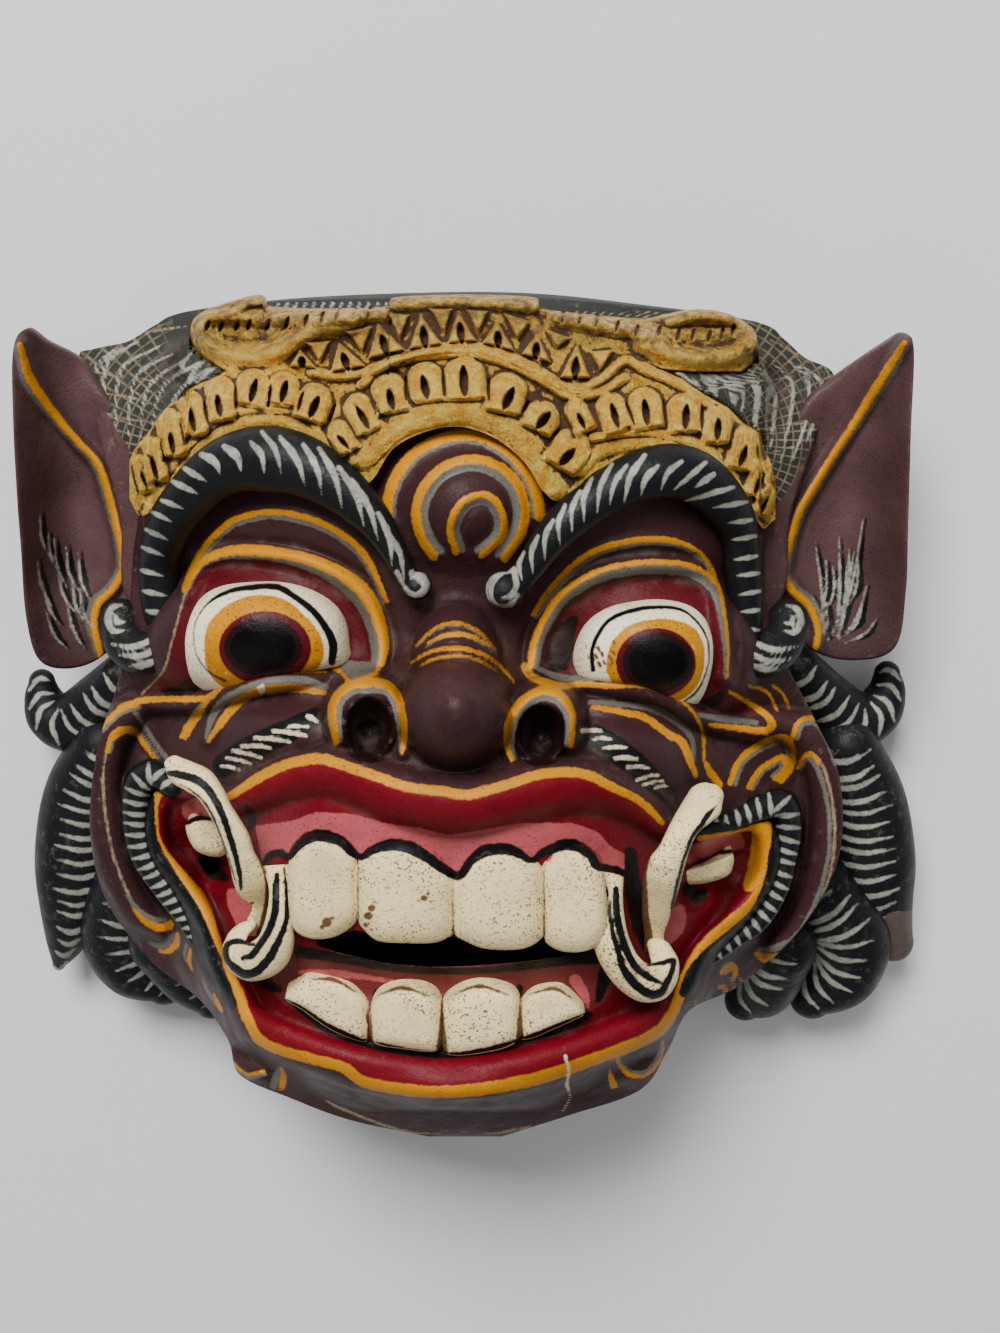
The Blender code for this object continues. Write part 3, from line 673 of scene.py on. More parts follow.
def painted(name, base, layers, rough=0.45, dust=0.25, edge=1.0, pits=0.5, net=False):
    """Old satin paint on wood, with painted marks, worn spots, and dust and painted shade in the recesses."""
    n = Nodes(name)
    wobble = n.swing(n.noise(420, 4, 0.65), 4.4 * edge)
    colour = n.mix(n.ramp(n.noise(38, 5, 0.6), 0.3, 0.75), base, darker(base, 0.74))
    if net:
        colour = netted(n, colour, wobble)
    for layer in layers:
        paint = COLOURS[layer]
        shade = n.mix(n.ramp(n.noise(70, 5, 0.65), 0.3, 0.75), paint, darker(paint, 0.72))
        distance = n.math("ADD", n.attribute(layer), wobble)
        share = n.ramp(distance, -0.8, 0.8, 1.0, 0.0)
        if layer in RUBBED:
            worn = n.ramp(n.noise(190, 6, 0.72), 0.62, 0.72, 0.0, 0.6)
            share = n.times(share, n.math("SUBTRACT", 1.0, worn))
        if layer == "white":
            share = n.times(share, n.ramp(n.noise(230, 5, 0.7), 0.35, 0.62, 0.58, 1.0))
        colour = n.mix(share, colour, shade)
    colour = aged(n, colour, dust, pits)
    n.join(colour, n.shader.inputs["Base Color"])
    n.join(n.ramp(n.noise(90, 4), 0.3, 0.7, rough - 0.07, rough + 0.12), n.shader.inputs["Roughness"])
    n.join(0.14, n.shader.inputs["Specular IOR Level"])
    brush = n.math("ADD", n.noise(160, 5, 0.65), n.times(n.noise(900, 3), 0.3))
    bump = n.add("ShaderNodeBump", {"Height": brush, "Strength": 0.5, "Distance": 0.001})
    n.join(bump.outputs[0], n.shader.inputs["Normal"])
    return n.material


def netted(n, colour, wobble):
    """A net of thin pale lines, where the attributes strand and tie reach whole numbers."""
    ways = (n.math("PINGPONG", n.attribute(way), 0.5) for way in ("strand", "tie"))
    line = n.math("ADD", n.math("MINIMUM", *ways), n.times(wobble, 0.05))
    line = n.times(n.ramp(line, 0.04, 0.14, 1.0, 0.0), n.attribute("net"))
    line = n.times(line, n.ramp(n.noise(110, 4, 0.7), 0.3, 0.7, 0.1, 0.75))
    return n.mix(line, colour, COLOURS["tan"])


def aged(n, colour, dust, pits):
    """Brown specks, painted shade and dust in the recesses, and rubbed ridges."""
    speck = n.ramp(n.noise(1100, 2, 0.5), 0.61 - 0.05 * pits, 0.69 - 0.05 * pits)
    speck = n.times(speck, pits, n.ramp(n.noise(60, 3), 0.36, 0.6, 0.25, 1.0))
    colour = n.mix(speck, colour, srgb(116, 84, 58), "MULTIPLY")
    recess = n.attribute("recess")
    # Painted shade: the deeper a recess, the nearer its colour comes to a near black brown
    colour = n.mix(n.ramp(recess, 0.25, 2.0, 0.0, 0.55), colour, srgb(26, 16, 14))
    patchy = n.times(n.ramp(n.noise(85, 6, 0.7), 0.46, 0.66), n.ramp(recess, 1.4, 2.8, 1.0, 0.1))
    grime = n.times(n.ramp(recess, -0.1, 0.9), patchy, dust)
    colour = n.mix(grime, colour, srgb(106, 90, 78))
    rub = n.times(n.ramp(recess, -0.35, -1.4), n.ramp(n.noise(260, 4, 0.7), 0.56, 0.68), 0.22)
    return n.mix(rub, colour, srgb(150, 134, 116))


def gilded(name):
    """Crinkled gold leaf, worn to brown in the recesses and towards the back."""
    n = Nodes(name)
    fleck = n.noise(420, 6, 0.78)
    bare = n.math("ADD", n.times(n.attribute("recess"), 1.3), n.swing(fleck, 3.0))
    bare = n.ramp(n.math("ADD", bare, n.swing(n.noise(70, 5, 0.65), 1.8)), 0.26, 0.46)
    back = n.ramp(n.attribute("upper"), 0.0, 1.0)
    bare = n.math("MAXIMUM", bare, n.times(back, n.ramp(n.noise(300, 4, 0.7), 0.40, 0.62, 0.2, 0.85)))
    leaf = n.mix(n.ramp(n.noise(240, 5, 0.75), 0.40, 0.60), GOLD, WORN_GOLD)
    brown = n.mix(n.ramp(fleck, 0.35, 0.65), srgb(104, 70, 40), srgb(58, 38, 26))
    rough = n.math("ADD", n.ramp(fleck, 0.3, 0.7, 0.2, 0.4), n.times(bare, 0.25))
    n.join(n.mix(bare, leaf, brown), n.shader.inputs["Base Color"])
    n.join(n.ramp(bare, 0.0, 1.0, 0.4, 0.0), n.shader.inputs["Metallic"])
    n.join(rough, n.shader.inputs["Roughness"])
    height = n.math("ADD", n.noise(210, 6, 0.75), n.times(n.noise(620, 4, 0.75), 0.6))
    bump = n.add("ShaderNodeBump", {"Height": height, "Strength": 1.0, "Distance": 0.0042})
    n.join(bump.outputs[0], n.shader.inputs["Normal"])
    return n.material


def dress(piece, material):
    """Gives a piece its material and its place on the mask's body."""
    piece.data.materials.clear()
    piece.data.materials.append(material)
    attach(piece, "root")


# The face

# The face's middle, its top and bottom in the picture, and the points of its mesh down and across
FACE_CENTRE = (450, 760)
FACE_SPAN = (397, 1136.5)
FACE_ROWS, FACE_COLUMNS = 286, 294
# The outline of the face, down its left and its right side: across, down, height
FACE_LEFT = [
    (300, 396, 88), (200, 430, 78), (150, 480, 70), (135, 540, 66), (130, 600, 62), (118, 680, 58),
    (97, 750, 54), (90, 830, 52), (106, 900, 52), (150, 960, 60), (200, 1000, 75), (228, 1040, 90),
    (240, 1075, 97), (290, 1098, 102), (350, 1120, 106), (430, 1137, 108),
]
FACE_RIGHT = [
    (620, 396, 88), (720, 430, 78), (760, 480, 70), (765, 540, 66), (765, 600, 62), (785, 660, 58),
    (815, 720, 56), (840, 780, 52), (838, 860, 52), (800, 930, 54), (740, 985, 66), (690, 1010, 80),
    (668, 1050, 92), (640, 1090, 98), (570, 1115, 106), (500, 1137, 108),
]
# Heights inside the outline
FACE_FORM = [
    (460, 400, 96), (460, 520, 120), (455, 600, 113), (270, 490, 104), (190, 540, 86), (650, 490, 104),
    (730, 550, 86), (264, 640, 96), (657, 655, 96), (370, 650, 108), (540, 655, 108), (150, 690, 74),
    (765, 715, 74), (280, 715, 112), (640, 730, 112), (456, 680, 126), (365, 720, 128), (545, 725, 128),
    (467, 790, 150), (330, 780, 140), (590, 790, 140), (250, 790, 118), (660, 805, 118), (165, 800, 88),
    (760, 820, 88), (440, 860, 146), (440, 930, 144), (440, 990, 140), (440, 1050, 134), (300, 860, 134),
    (600, 870, 134), (205, 850, 90), (725, 865, 90), (240, 930, 104), (690, 930, 104), (290, 1010, 124),
    (600, 1015, 124), (450, 1100, 122), (290, 1070, 112), (610, 1070, 112), (150, 850, 78), (785, 870, 78),
]
# Crests of the lips and of the bands at the mouth's corners: across, down, height
UPPER_LIP = [
    (214, 800, 120), (250, 794, 130), (300, 778, 142), (340, 776, 149), (400, 796, 157), (465, 806, 160),
    (530, 792, 157), (590, 788, 149), (632, 802, 140), (668, 828, 128),
]
LOWER_LIP = [
    (236, 985, 112), (252, 1020, 122), (285, 1040, 131), (345, 1062, 139), (400, 1074, 143), (450, 1078, 144),
    (500, 1074, 143), (550, 1062, 139), (610, 1040, 131), (655, 1018, 120), (676, 985, 110),
]
MOUTH_CORNERS = {
    "left": [
        (206, 790, 112), (172, 792, 98), (156, 815, 94), (160, 852, 94), (184, 886, 98), (206, 922, 104),
        (220, 965, 108), (238, 1002, 114),
    ],
    "right": [
        (700, 838, 116), (745, 822, 98), (768, 838, 94), (765, 876, 94), (735, 916, 98), (702, 948, 104),
        (685, 985, 108), (668, 1012, 114),
    ],
}
# Black fringes round the corners, also with a half width
FRINGES = {
    "left": [
        (172, 788, 99, 3.0), (154, 774, 92, 4.6), (139, 788, 87, 5.2), (138, 826, 84, 5.2),
        (146, 856, 84, 5.2), (164, 884, 85, 5.0), (184, 912, 86, 4.4), (199, 938, 87, 3.6),
        (212, 964, 89, 2.9), (222, 984, 91, 2.0), (231, 1004, 93, 1.4),
    ],
    "right": [
        (700, 828, 108, 1.8), (731, 821, 100, 2.8), (762, 808, 93, 4.2), (782, 806, 88, 5.0),
        (788, 830, 85, 4.8), (784, 856, 84, 4.6), (777, 888, 84, 4.2), (759, 920, 85, 3.8),
        (733, 941, 87, 3.0), (710, 958, 89, 2.7), (694, 974, 91, 2.0), (685, 992, 93, 1.3),
    ],
}
CHEEK_BANDS = {
    "left": [
        (182, 700, 86), (140, 706, 82), (114, 730, 82), (104, 762, 82), (104, 813, 82), (115, 866, 80),
        (136, 908, 77), (160, 930, 74),
    ],
    "right": [
        (740, 718, 86), (775, 722, 84), (812, 742, 83), (828, 790, 82), (830, 833, 82), (822, 884, 80),
        (806, 922, 77), (778, 948, 74),
    ],
}
# Painted lines on a raised edge: the yellow line, its half widths and those of the grey line beside it
BUMP_ARCHES = [
    ([(387, 516), (389, 495), (399, 471), (420, 449), (452, 436), (484, 438), (511, 454), (529, 475),
      (537, 495), (540, 516)], 5.5, 2.0),
    ([(434, 556), (424, 543), (417, 524), (417, 503), (427, 482), (447, 465), (473, 459), (498, 466),
      (517, 483), (525, 508), (521, 534), (505, 558)], 4.6, 4.2),
    ([(456, 552), (450, 530), (456, 510), (469, 498), (485, 495), (498, 504), (504, 520), (501, 538),
      (482, 555)],
     3.6, 3.6),
]
LID_ARCHES = {
    "left": ([(184, 584 + 8), (199, 566), (215, 555), (240, 550), (272, 552), (304, 558), (333, 569),
              (357, 585), (372, 604), (381, 627), (384, 647), (382, 664)],
             [2, 3, 4.5, 5.3, 5.8, 5.5, 6.3, 7.5, 7, 6, 5, 3], [1, 1, 1.2, 2.2, 1.8, 3, 3.6, 4.5, 4.4, 4.5,
                                                                4.5, 4]),
    "right": ([(530, 666), (534, 643), (540, 627), (555, 601), (573, 585), (599, 571), (628, 564), (658, 562),
               (688, 565), (708, 575), (720, 591), (725, 619), (728, 651), (727, 678)],
              [3.5, 3.5, 3.5, 3.5, 3.2, 3, 2.8, 2.8, 2.8, 2.2, 2, 1.8, 1.6, 1.6],
              [3, 3.2, 3.2, 3.5, 4, 4.5, 4.8, 5, 5, 5, 4, 2.5, 2, 1.2]),
}
BROW_SHADES = {
    "left": ([(184, 588), (196, 560), (214, 536), (236, 519), (273, 512), (314, 520), (346, 537), (368, 560),
              (387, 602)],
             [2.4, 2.8, 3, 3, 3, 3.2, 3.4, 3.4, 2], [1.8, 2, 2.4, 2.6, 2.6, 2.6, 2.2, 2, 1.4]),
    "right": ([(533, 615), (546, 595), (565, 573), (589, 554), (615, 544), (650, 539), (678, 542), (698, 552),
               (710, 566), (720, 590)], [2.4, 3, 3, 3, 3, 3, 2.6, 2.4, 2, 1.4],
               [2, 2.4, 2.4, 2.4, 2.2, 2, 2, 1.8, 1.5, 1]),
}
LOWER_LIDS = {
    "left": [(142, 703, 82), (172, 704, 94), (206, 702, 104), (226, 692, 112), (250, 683, 117),
             (283, 679, 118), (322, 678, 114), (352, 674, 108)],
    "right": [(542, 681, 110), (575, 685, 115), (612, 687, 118), (645, 691, 118), (668, 700, 116),
              (690, 714, 110), (725, 728, 98), (762, 732, 88)],
}
POUCHES = {
    "left": [(208, 740), (219, 715), (234, 702), (256, 691), (285, 686), (325, 690)],
    "right": [(590, 705), (622, 709), (652, 714), (674, 728), (688, 745), (695, 775)],
}
NOSTRILS = {
    "left": ([(336, 742), (332, 716), (335, 700), (347, 687), (365, 683), (384, 684), (396, 694), (402, 713),
              (404, 737), (402, 753)], [3.4, 4.4, 4.6, 4.6, 4.8, 4.8, 4.4, 4, 3.4, 2],
              [2, 3, 3, 3, 3, 3, 2.6, 2.2, 1.6, 1]),
    "right": ([(512, 760), (507, 744), (509, 722), (521, 702), (540, 691), (557, 693), (569, 706), (573, 722),
               (571, 746)], [2.2, 3.2, 3.6, 4.2, 4.6, 4.6, 3.8, 3.2, 2.6],
               [1.6, 2.4, 2.8, 3, 3.2, 3.2, 3, 2.8, 2.4]),
}
# Folds over the bridge of the nose: where their middle is, down the picture, and how high they stand
NOSE_FOLDS = [(628, 1.6), (642, 1.2), (656, 1.6)]
NOSTRIL_HOLLOWS = {"left": ((369, 727), (25, 31)), "right": ((541, 732), (25, 29))}

face_form = thin_plate(FACE_LEFT + FACE_RIGHT + FACE_FORM)


def brow_and_forehead(h, uv):
    """The bump between the brows with its arches, and the shelf that the brows lie on."""
    mound(h, uv, (463, 486), (90, 92), 13, power=1.3)
    for path, half, _ in BUMP_ARCHES:
        ridge(h, uv, path, 2.2 * half, 1.3)
        ridge(h, uv, beside(path, 12), 7, -0.9)
    for brow in BROWS.values():
        bar(h, uv, [p[:3] for p in brow], [2.2 * p[3] for p in brow], 9)


def eyes(h, uv):
    """Lids and the folds above and below them."""
    dome(h, uv, (262, 628), (118, 72), 88, 110, -14)
    dome(h, uv, (650, 642), (114, 78), 88, 110, 16)
    mound(h, uv, (274, 722), (92, 46), 12, -6)
    mound(h, uv, (646, 742), (88, 48), 12, 26)
    for side in SIDES:
        path = LID_ARCHES[side][0]
        ridge(h, uv, beside(path, 4), 14, 4.5)
        ridge(h, uv, beside(path, -10), 8, -1.5)
        ridge(h, uv, BROW_SHADES[side][0], 9, 1.0)
        bar(h, uv, LOWER_LIDS[side], [8, 9, 11, 11, 11, 11, 10, 9], 6)
        ridge(h, uv, POUCHES[side], 12, 2.2)


def nose(h, uv):
    """The bridge with its folds, the round tip and the blind nostrils."""
    dome(h, uv, (368, 722), (46, 50), 118, 151)
    dome(h, uv, (543, 728), (46, 50), 118, 151)
    dome(h, uv, (456, 664), (46, 62), 112, 143, blend=12)
    for y, rise in NOSE_FOLDS:
        ridge(h, uv, [(414, y + 24), (434, y + 6), (456, y), (478, y + 6), (499, y + 24)], 8, rise)
    dome(h, uv, (456, 716), (58, 60), 128, 173)
    for side in SIDES:
        ridge(h, uv, NOSTRILS[side][0], 11, 4)
        centre, radii = NOSTRIL_HOLLOWS[side]
        mound(h, uv, centre, radii, -20, power=1.2)


def mouth(h, uv):
    """Lips, mouth corners and the bands round them."""
    for side in SIDES:
        bar(h, uv, CHEEK_BANDS[side], [12, 16, 18, 20, 20, 20, 18, 12], 9)
        bar(h, uv, [p[:3] for p in FRINGES[side]], [2.6 * p[3] for p in FRINGES[side]], 7)
    mound(h, uv, (203, 850), (42, 50), -9, -12)
    mound(h, uv, (725, 862), (42, 50), -9, 12)
    for corner in MOUTH_CORNERS.values():
        bar(h, uv, corner, 11, 6)
    bar(h, uv, UPPER_LIP, [16, 20, 26, 29, 31, 31, 31, 28, 24, 16], 14)
    bar(h, uv, LOWER_LIP, [14, 18, 22, 24, 24, 24, 24, 24, 22, 18, 14], 12)
    mound(h, uv, (440, 984), (172, 38), -10, power=1.4)
    mound(h, uv, (212, 866), (20, 24), -9, -24)
    mound(h, uv, (694, 896), (20, 20), -9, 20)
    mound(h, uv, (450, 1112), (160, 46), 7)
    ridge(h, uv, [(226, 1040), (236, 1062), (262, 1078)], 12, 3)
    ridge(h, uv, [(612, 1078), (640, 1076), (662, 1050)], 12, 3)


def face_height(uv):
    """The carved front of the face."""
    h = face_form(uv)
    brow_and_forehead(h, uv)
    eyes(h, uv)
    nose(h, uv)
    mouth(h, uv)
    return h


# Paint round the mouth: the yellow line, the gums, and the black lines along the teeth with half widths
UPPER_LIP_LINE = [
    (222, 800), (234, 794), (250, 783), (275, 769), (300, 761), (322, 759), (343, 765), (376, 776),
    (408, 787), (441, 791), (467, 795), (484, 791), (506, 785), (538, 775), (571, 772), (593, 777),
    (614, 788), (640, 801), (662, 822),
]
LEFT_LIP_LINE = [
    (176, 789), (163, 790), (154, 803), (154, 833), (164, 856), (182, 877), (202, 902), (213, 935),
    (223, 966), (238, 992), (248, 1020), (264, 1043), (304, 1057), (342, 1067), (362, 1081), (398, 1089),
    (444, 1092), (495, 1087), (546, 1076), (597, 1058), (640, 1042), (662, 1028), (674, 1010), (681, 991),
    (689, 968), (704, 945), (730, 922), (753, 902), (765, 879), (770, 846), (765, 822), (747, 826),
    (722, 832), (700, 838),
]
GUM_TOP = [
    (255, 826), (291, 821), (317, 812), (355, 814), (383, 823), (419, 828), (447, 835), (477, 831),
    (521, 823), (572, 823), (597, 831), (610, 846), (632, 858),
]
GUM_EDGE = [
    (263, 865), (270, 855), (280, 853), (289, 857), (297, 847), (310, 837), (325, 836), (342, 842),
    (352, 852), (362, 857), (373, 850), (391, 845), (408, 847), (425, 856), (442, 868), (459, 876),
    (471, 861), (485, 851), (505, 849), (520, 854), (531, 861), (543, 853), (560, 846), (574, 845),
    (589, 854), (597, 866), (606, 868), (617, 870), (628, 876),
]
GUM_LINE = [
    1.6, 3.6, 4.2, 3.4, 4.6, 6.2, 6.2, 5.8, 4.6, 3.4, 4.8, 6.2, 6.6, 5.8, 5.2, 4.4, 4.8, 6.2, 6.2, 4.8, 3,
    4.4, 5.8, 6.2, 5.2, 4.4, 3.8, 3.8, 3.4,
]
LOWER_GUM = [
    (262, 958), (316, 950), (375, 958), (440, 964), (500, 962), (579, 954), (620, 952), (612, 990),
    (594, 1010), (554, 1030), (495, 1046), (452, 1052), (378, 1042), (306, 1016), (276, 996), (262, 976),
]
LOWER_TEETH_LINE = [
    (287, 1000), (305, 1012), (325, 1027), (345, 1036), (365, 1043), (391, 1049), (425, 1054), (454, 1055),
    (483, 1051), (517, 1042), (546, 1033), (574, 1022), (589, 1015),
]
LOWER_TEETH_HALF = [1.5, 3.8, 5.2, 4.8, 4, 4.4, 3.6, 3, 3.4, 3.2, 5.2, 4.8, 3.8]
# The gap between the rows of teeth, through which the ground shows, and the heights that its cut runs through
SLOT_HEIGHTS = (60, 120, 190)
GAP_OUTLINE = [
    (316, 938), (340, 934), (356, 930), (380, 936), (430, 940), (448, 934), (470, 942), (520, 944),
    (543, 936), (560, 944), (584, 946), (588, 952), (560, 957), (520, 962), (470, 966), (430, 967),
    (385, 963), (340, 953), (318, 946),
]


def paint_mouth(paint):
    """Red lips and pink gums in a yellow line, black lines along the teeth, and painted shade in the mouth.
    """
    paint.patch("red", UPPER_LIP_LINE[::-1] + LEFT_LIP_LINE, smooth=False)
    paint.patch("pink", GUM_TOP + GUM_EDGE[::-1], smooth=False)
    paint.patch("pink", [(182, 812), (184, 803), (198, 798), (214, 800), (220, 818), (205, 817), (188, 820)])
    paint.patch("pink", [(686, 850), (702, 841), (730, 832), (742, 835), (743, 848), (722, 852), (708, 858),
                         (686, 863)])
    paint.patch("pink", [(228, 890), (248, 890), (254, 904), (246, 922), (238, 926), (229, 908)])
    paint.patch("pink", [(668, 915), (680, 904), (686, 912), (684, 930), (670, 944), (664, 936)])
    # The lower gum is painted darker than the upper one: painted shade inside the mouth
    paint.patch("gum", LOWER_GUM)
    paint.stroke("pink", [(300, 972), (340, 974), (400, 982)], [2, 4, 1])
    paint.stroke("pink", [(575, 980), (584, 994), (588, 1006)], [6, 5, 2])
    # Painted shade: near black along the gap, between the lower teeth, by the fangs and in the corner holes
    paint.stroke("painted_shade", [(300, 952), (340, 958), (390, 967), (440, 971), (500, 969), (560, 961), (610, 955)],
                 [6, 5, 4, 3.4, 3.4, 5, 8])
    paint.stroke("painted_shade", [(258, 968), (268, 984), (280, 990)], [9, 6, 3])
    paint.stroke("painted_shade", [(612, 962), (604, 980), (598, 1000)], [9, 7, 3])
    for path in ([(378, 992), (371, 1004)], [(443, 1000), (442, 1008)], [(520, 988), (520, 1000)]):
        paint.stroke("painted_shade", path, [4, 2])
    paint.stroke("painted_shade", [(630, 852), (634, 890), (640, 924), (648, 946)], [6, 9, 9, 6])
    paint.stroke("painted_shade", [(246, 806), (252, 818), (250, 828)], [2, 5, 3])
    paint.stroke("painted_shade", [(204, 862), (214, 872), (226, 878)], [4, 8, 4])
    paint.stroke("painted_shade", [(688, 888), (698, 896), (704, 892)], [7, 8, 4])
    paint.stroke("black", GUM_EDGE, GUM_LINE, steps=4)
    paint.stroke("black", LOWER_TEETH_LINE, LOWER_TEETH_HALF)
    paint.stroke("yellow", UPPER_LIP_LINE, [3.4, 5, 5.4, 5, 5, 5, 4.8, 3])
    paint.stroke("yellow", LEFT_LIP_LINE, [3.5, 5, 6, 6, 5.5, 5, 5.5, 6, 6.5, 6, 5.5, 5, 5.5, 6, 5, 3])
    paint.stroke("yellow", [(758, 828), (760, 846), (757, 866), (749, 886)], [6, 9, 9, 6])


def paint_eyes(paint):
    """Red lids, the yellow and grey lines of the lids and the folds round them, and painted shade at the
    lids' corners.
    """
    paint.patch("lid", [(163, 671), (171, 645), (178, 618), (192, 582), (218, 562), (263, 560), (304, 568),
                        (344, 588), (365, 615), (373, 662), (330, 670), (280, 676), (245, 682), (222, 690),
                        (207, 699), (140, 699)],
                smooth=False)
    paint.stroke("tan", [(185, 593), (171, 645), (163, 671), (142, 694)], 1.0)
    paint.patch("lid", [(541, 664), (549, 634), (562, 610), (588, 590), (629, 578), (670, 577), (703, 588),
                        (718, 612), (724, 660), (726, 692), (759, 716), (697, 712), (660, 690), (610, 680),
                        (560, 674)],
                smooth=False)
    # Painted shade: dark and near black at the corners and under the lower lids
    paint.stroke("dark", [(146, 698), (176, 692), (196, 684), (206, 680)], [2, 6, 9, 5])
    paint.patch("painted_shade", [(545, 664), (550, 640), (562, 622), (578, 616), (574, 640), (570, 664), (560, 672)])
    paint.stroke("painted_shade", [(174, 690), (196, 690), (216, 684)], [2, 4, 3])
    paint.stroke("dark", [(700, 706), (716, 700), (722, 694)], [5, 6, 3])
    for side in SIDES:
        paint.trim(*LID_ARCHES[side])
        paint.trim(*BROW_SHADES[side])
    paint.stroke("yellow", [(120, 708), (140, 701), (165, 699), (207, 698), (220, 687), (241, 678),
                            (272, 672), (300, 671), (326, 671)], [3, 3.4, 3, 3.2, 2.6, 2.2, 2, 1.8, 1.6])
    paint.trim([(208, 700), (198, 715), (185, 737)], [2, 3, 2.6], [1.4, 1.8, 1.4])
    paint.stroke("grey", [(206, 738), (213, 715), (227, 699), (249, 688), (275, 681), (304, 681), (326, 687)],
                 [2, 3.6, 4.6, 4.6, 4.4, 4.8, 3])
    paint.stroke("yellow", [(208, 741), (222, 722), (233, 707), (250, 695), (268, 690), (295, 688),
                            (324, 693)],
                 [2, 4, 4.6, 4.4, 4.2, 4.2, 2.4])
    paint.patch("grey", [(330, 667), (345, 661), (375, 663), (377, 669), (357, 680), (350, 677), (340, 669)])
    paint.stroke("yellow", [(332, 667), (340, 671), (350, 682)], 2.2)
    paint.stroke("yellow", [(350, 683), (365, 678), (377, 671), (381, 661)], 2.4)
    paint.stroke("grey", [(537, 668), (550, 674), (565, 678), (590, 678), (612, 679)], [2, 3, 3.4, 3, 1.6])
    paint.stroke("yellow", [(524, 666), (531, 676), (547, 683), (565, 686), (579, 684), (611, 686),
                            (638, 685), (662, 690), (678, 698), (690, 708)],
                            [3.4, 4, 4, 3.2, 2.8, 2.8, 2.6, 2.2, 2, 1.6])
    paint.stroke("grey", [(590, 702), (618, 704), (650, 708), (674, 720), (688, 732), (693, 744), (694, 762)],
                 [2.4, 2.6, 3, 3.2, 3, 2.5, 1.5])
    paint.stroke("yellow", [(593, 707), (622, 712), (646, 718), (668, 734), (682, 742), (689, 758),
                            (696, 776)],
                 [2.4, 3.2, 3.6, 3.6, 4, 4, 2])
    paint.stroke("grey", [(698, 715), (727, 719), (757, 723)], [2.4, 3.4, 2.4])
    paint.stroke("yellow", [(730, 692), (747, 702), (765, 714), (772, 724), (765, 731), (737, 728),
                            (710, 725)],
                 [1.5, 2.6, 3.4, 4, 4, 3, 2])
    paint.stroke("yellow", [(690, 708), (700, 724), (704, 742), (704, 760)], 1.5)
    paint.stroke("yellow", [(705, 762), (711, 773), (720, 785)], [1.6, 4, 3])
    paint.trim([(730, 783), (739, 761), (757, 746), (783, 737), (793, 751), (791, 767), (781, 781)], 3, 2.4)
    paint.trim([(749, 787), (761, 769), (783, 757), (785, 769), (775, 779)], 2.8, 1.8)
    paint.stroke("yellow", [(749, 686), (767, 692), (777, 710)], 1.5)
    paint.stroke("yellow", [(773, 686), (783, 694), (789, 708)], 1.5)


def paint_nose(paint):
    """Lines over the bridge and round the nostrils, and painted shade inside the nostrils."""
    for side in SIDES:
        (x, y), (rx, ry) = NOSTRIL_HOLLOWS[side]
        # Painted shade: dark red-brown over each nostril's hollow and near black in its depth
        paint.patch("dark", round_outline((x, y + 2), (1.22 * rx, 1.12 * ry), 14))
        paint.patch("painted_shade", round_outline((x, y + 6), (0.62 * rx, 0.72 * ry), 14))
        paint.trim(*NOSTRILS[side])
    paint.trim([(416, 646), (434, 629), (456, 623), (478, 631), (496, 650)], [1, 1.6, 1.8, 1.6, 1],
               [0.8, 1.2, 1.4, 1.2, 0.8])
    paint.stroke("grey", [(425, 648), (439, 639), (458, 635), (475, 640), (496, 654)],
                 [0.8, 1.2, 1.4, 1.2, 0.8])
    paint.stroke("yellow", [(428, 643), (442, 636), (458, 634), (474, 637), (490, 647)], [1, 2, 2.6, 2, 1])
    paint.stroke("yellow", [(411, 663), (430, 652), (456, 648), (480, 653), (499, 665), (514, 682)],
                 [1, 2, 2.4, 2.2, 1.8, 1])
    paint.stroke("yellow", [(420, 666), (434, 659), (456, 656), (478, 660), (496, 671)],
                 [0.8, 1.4, 1.6, 1.4, 0.8])


# Black patches with half widths, and the pale dashes on them: from, to and width
MOUSTACHES = {
    "left": ([(224, 766), (252, 748), (286, 732), (316, 716)], [12, 13, 12, 9],
             [(306, 716, 318, 722, 4), (288, 727, 309, 727, 3), (272, 731, 307, 736, 3.6),
              (254, 738, 291, 742, 3.4), (241, 746, 272, 748, 3.2), (232, 751, 262, 758, 3.4),
              (225, 758, 252, 764, 3), (220, 766, 240, 770, 2.6)]),
    "right": ([(584, 728), (614, 748), (644, 772), (670, 796)], [9, 13, 12, 8],
              [(581, 731, 602, 731, 3.6), (592, 739, 612, 739, 3), (602, 748, 628, 748, 3.2),
               (614, 758, 638, 759, 3.6), (626, 767, 650, 768, 3.2), (636, 780, 660, 775, 3),
               (642, 785, 664, 781, 2.6), (654, 788, 669, 786, 2.2)]),
}


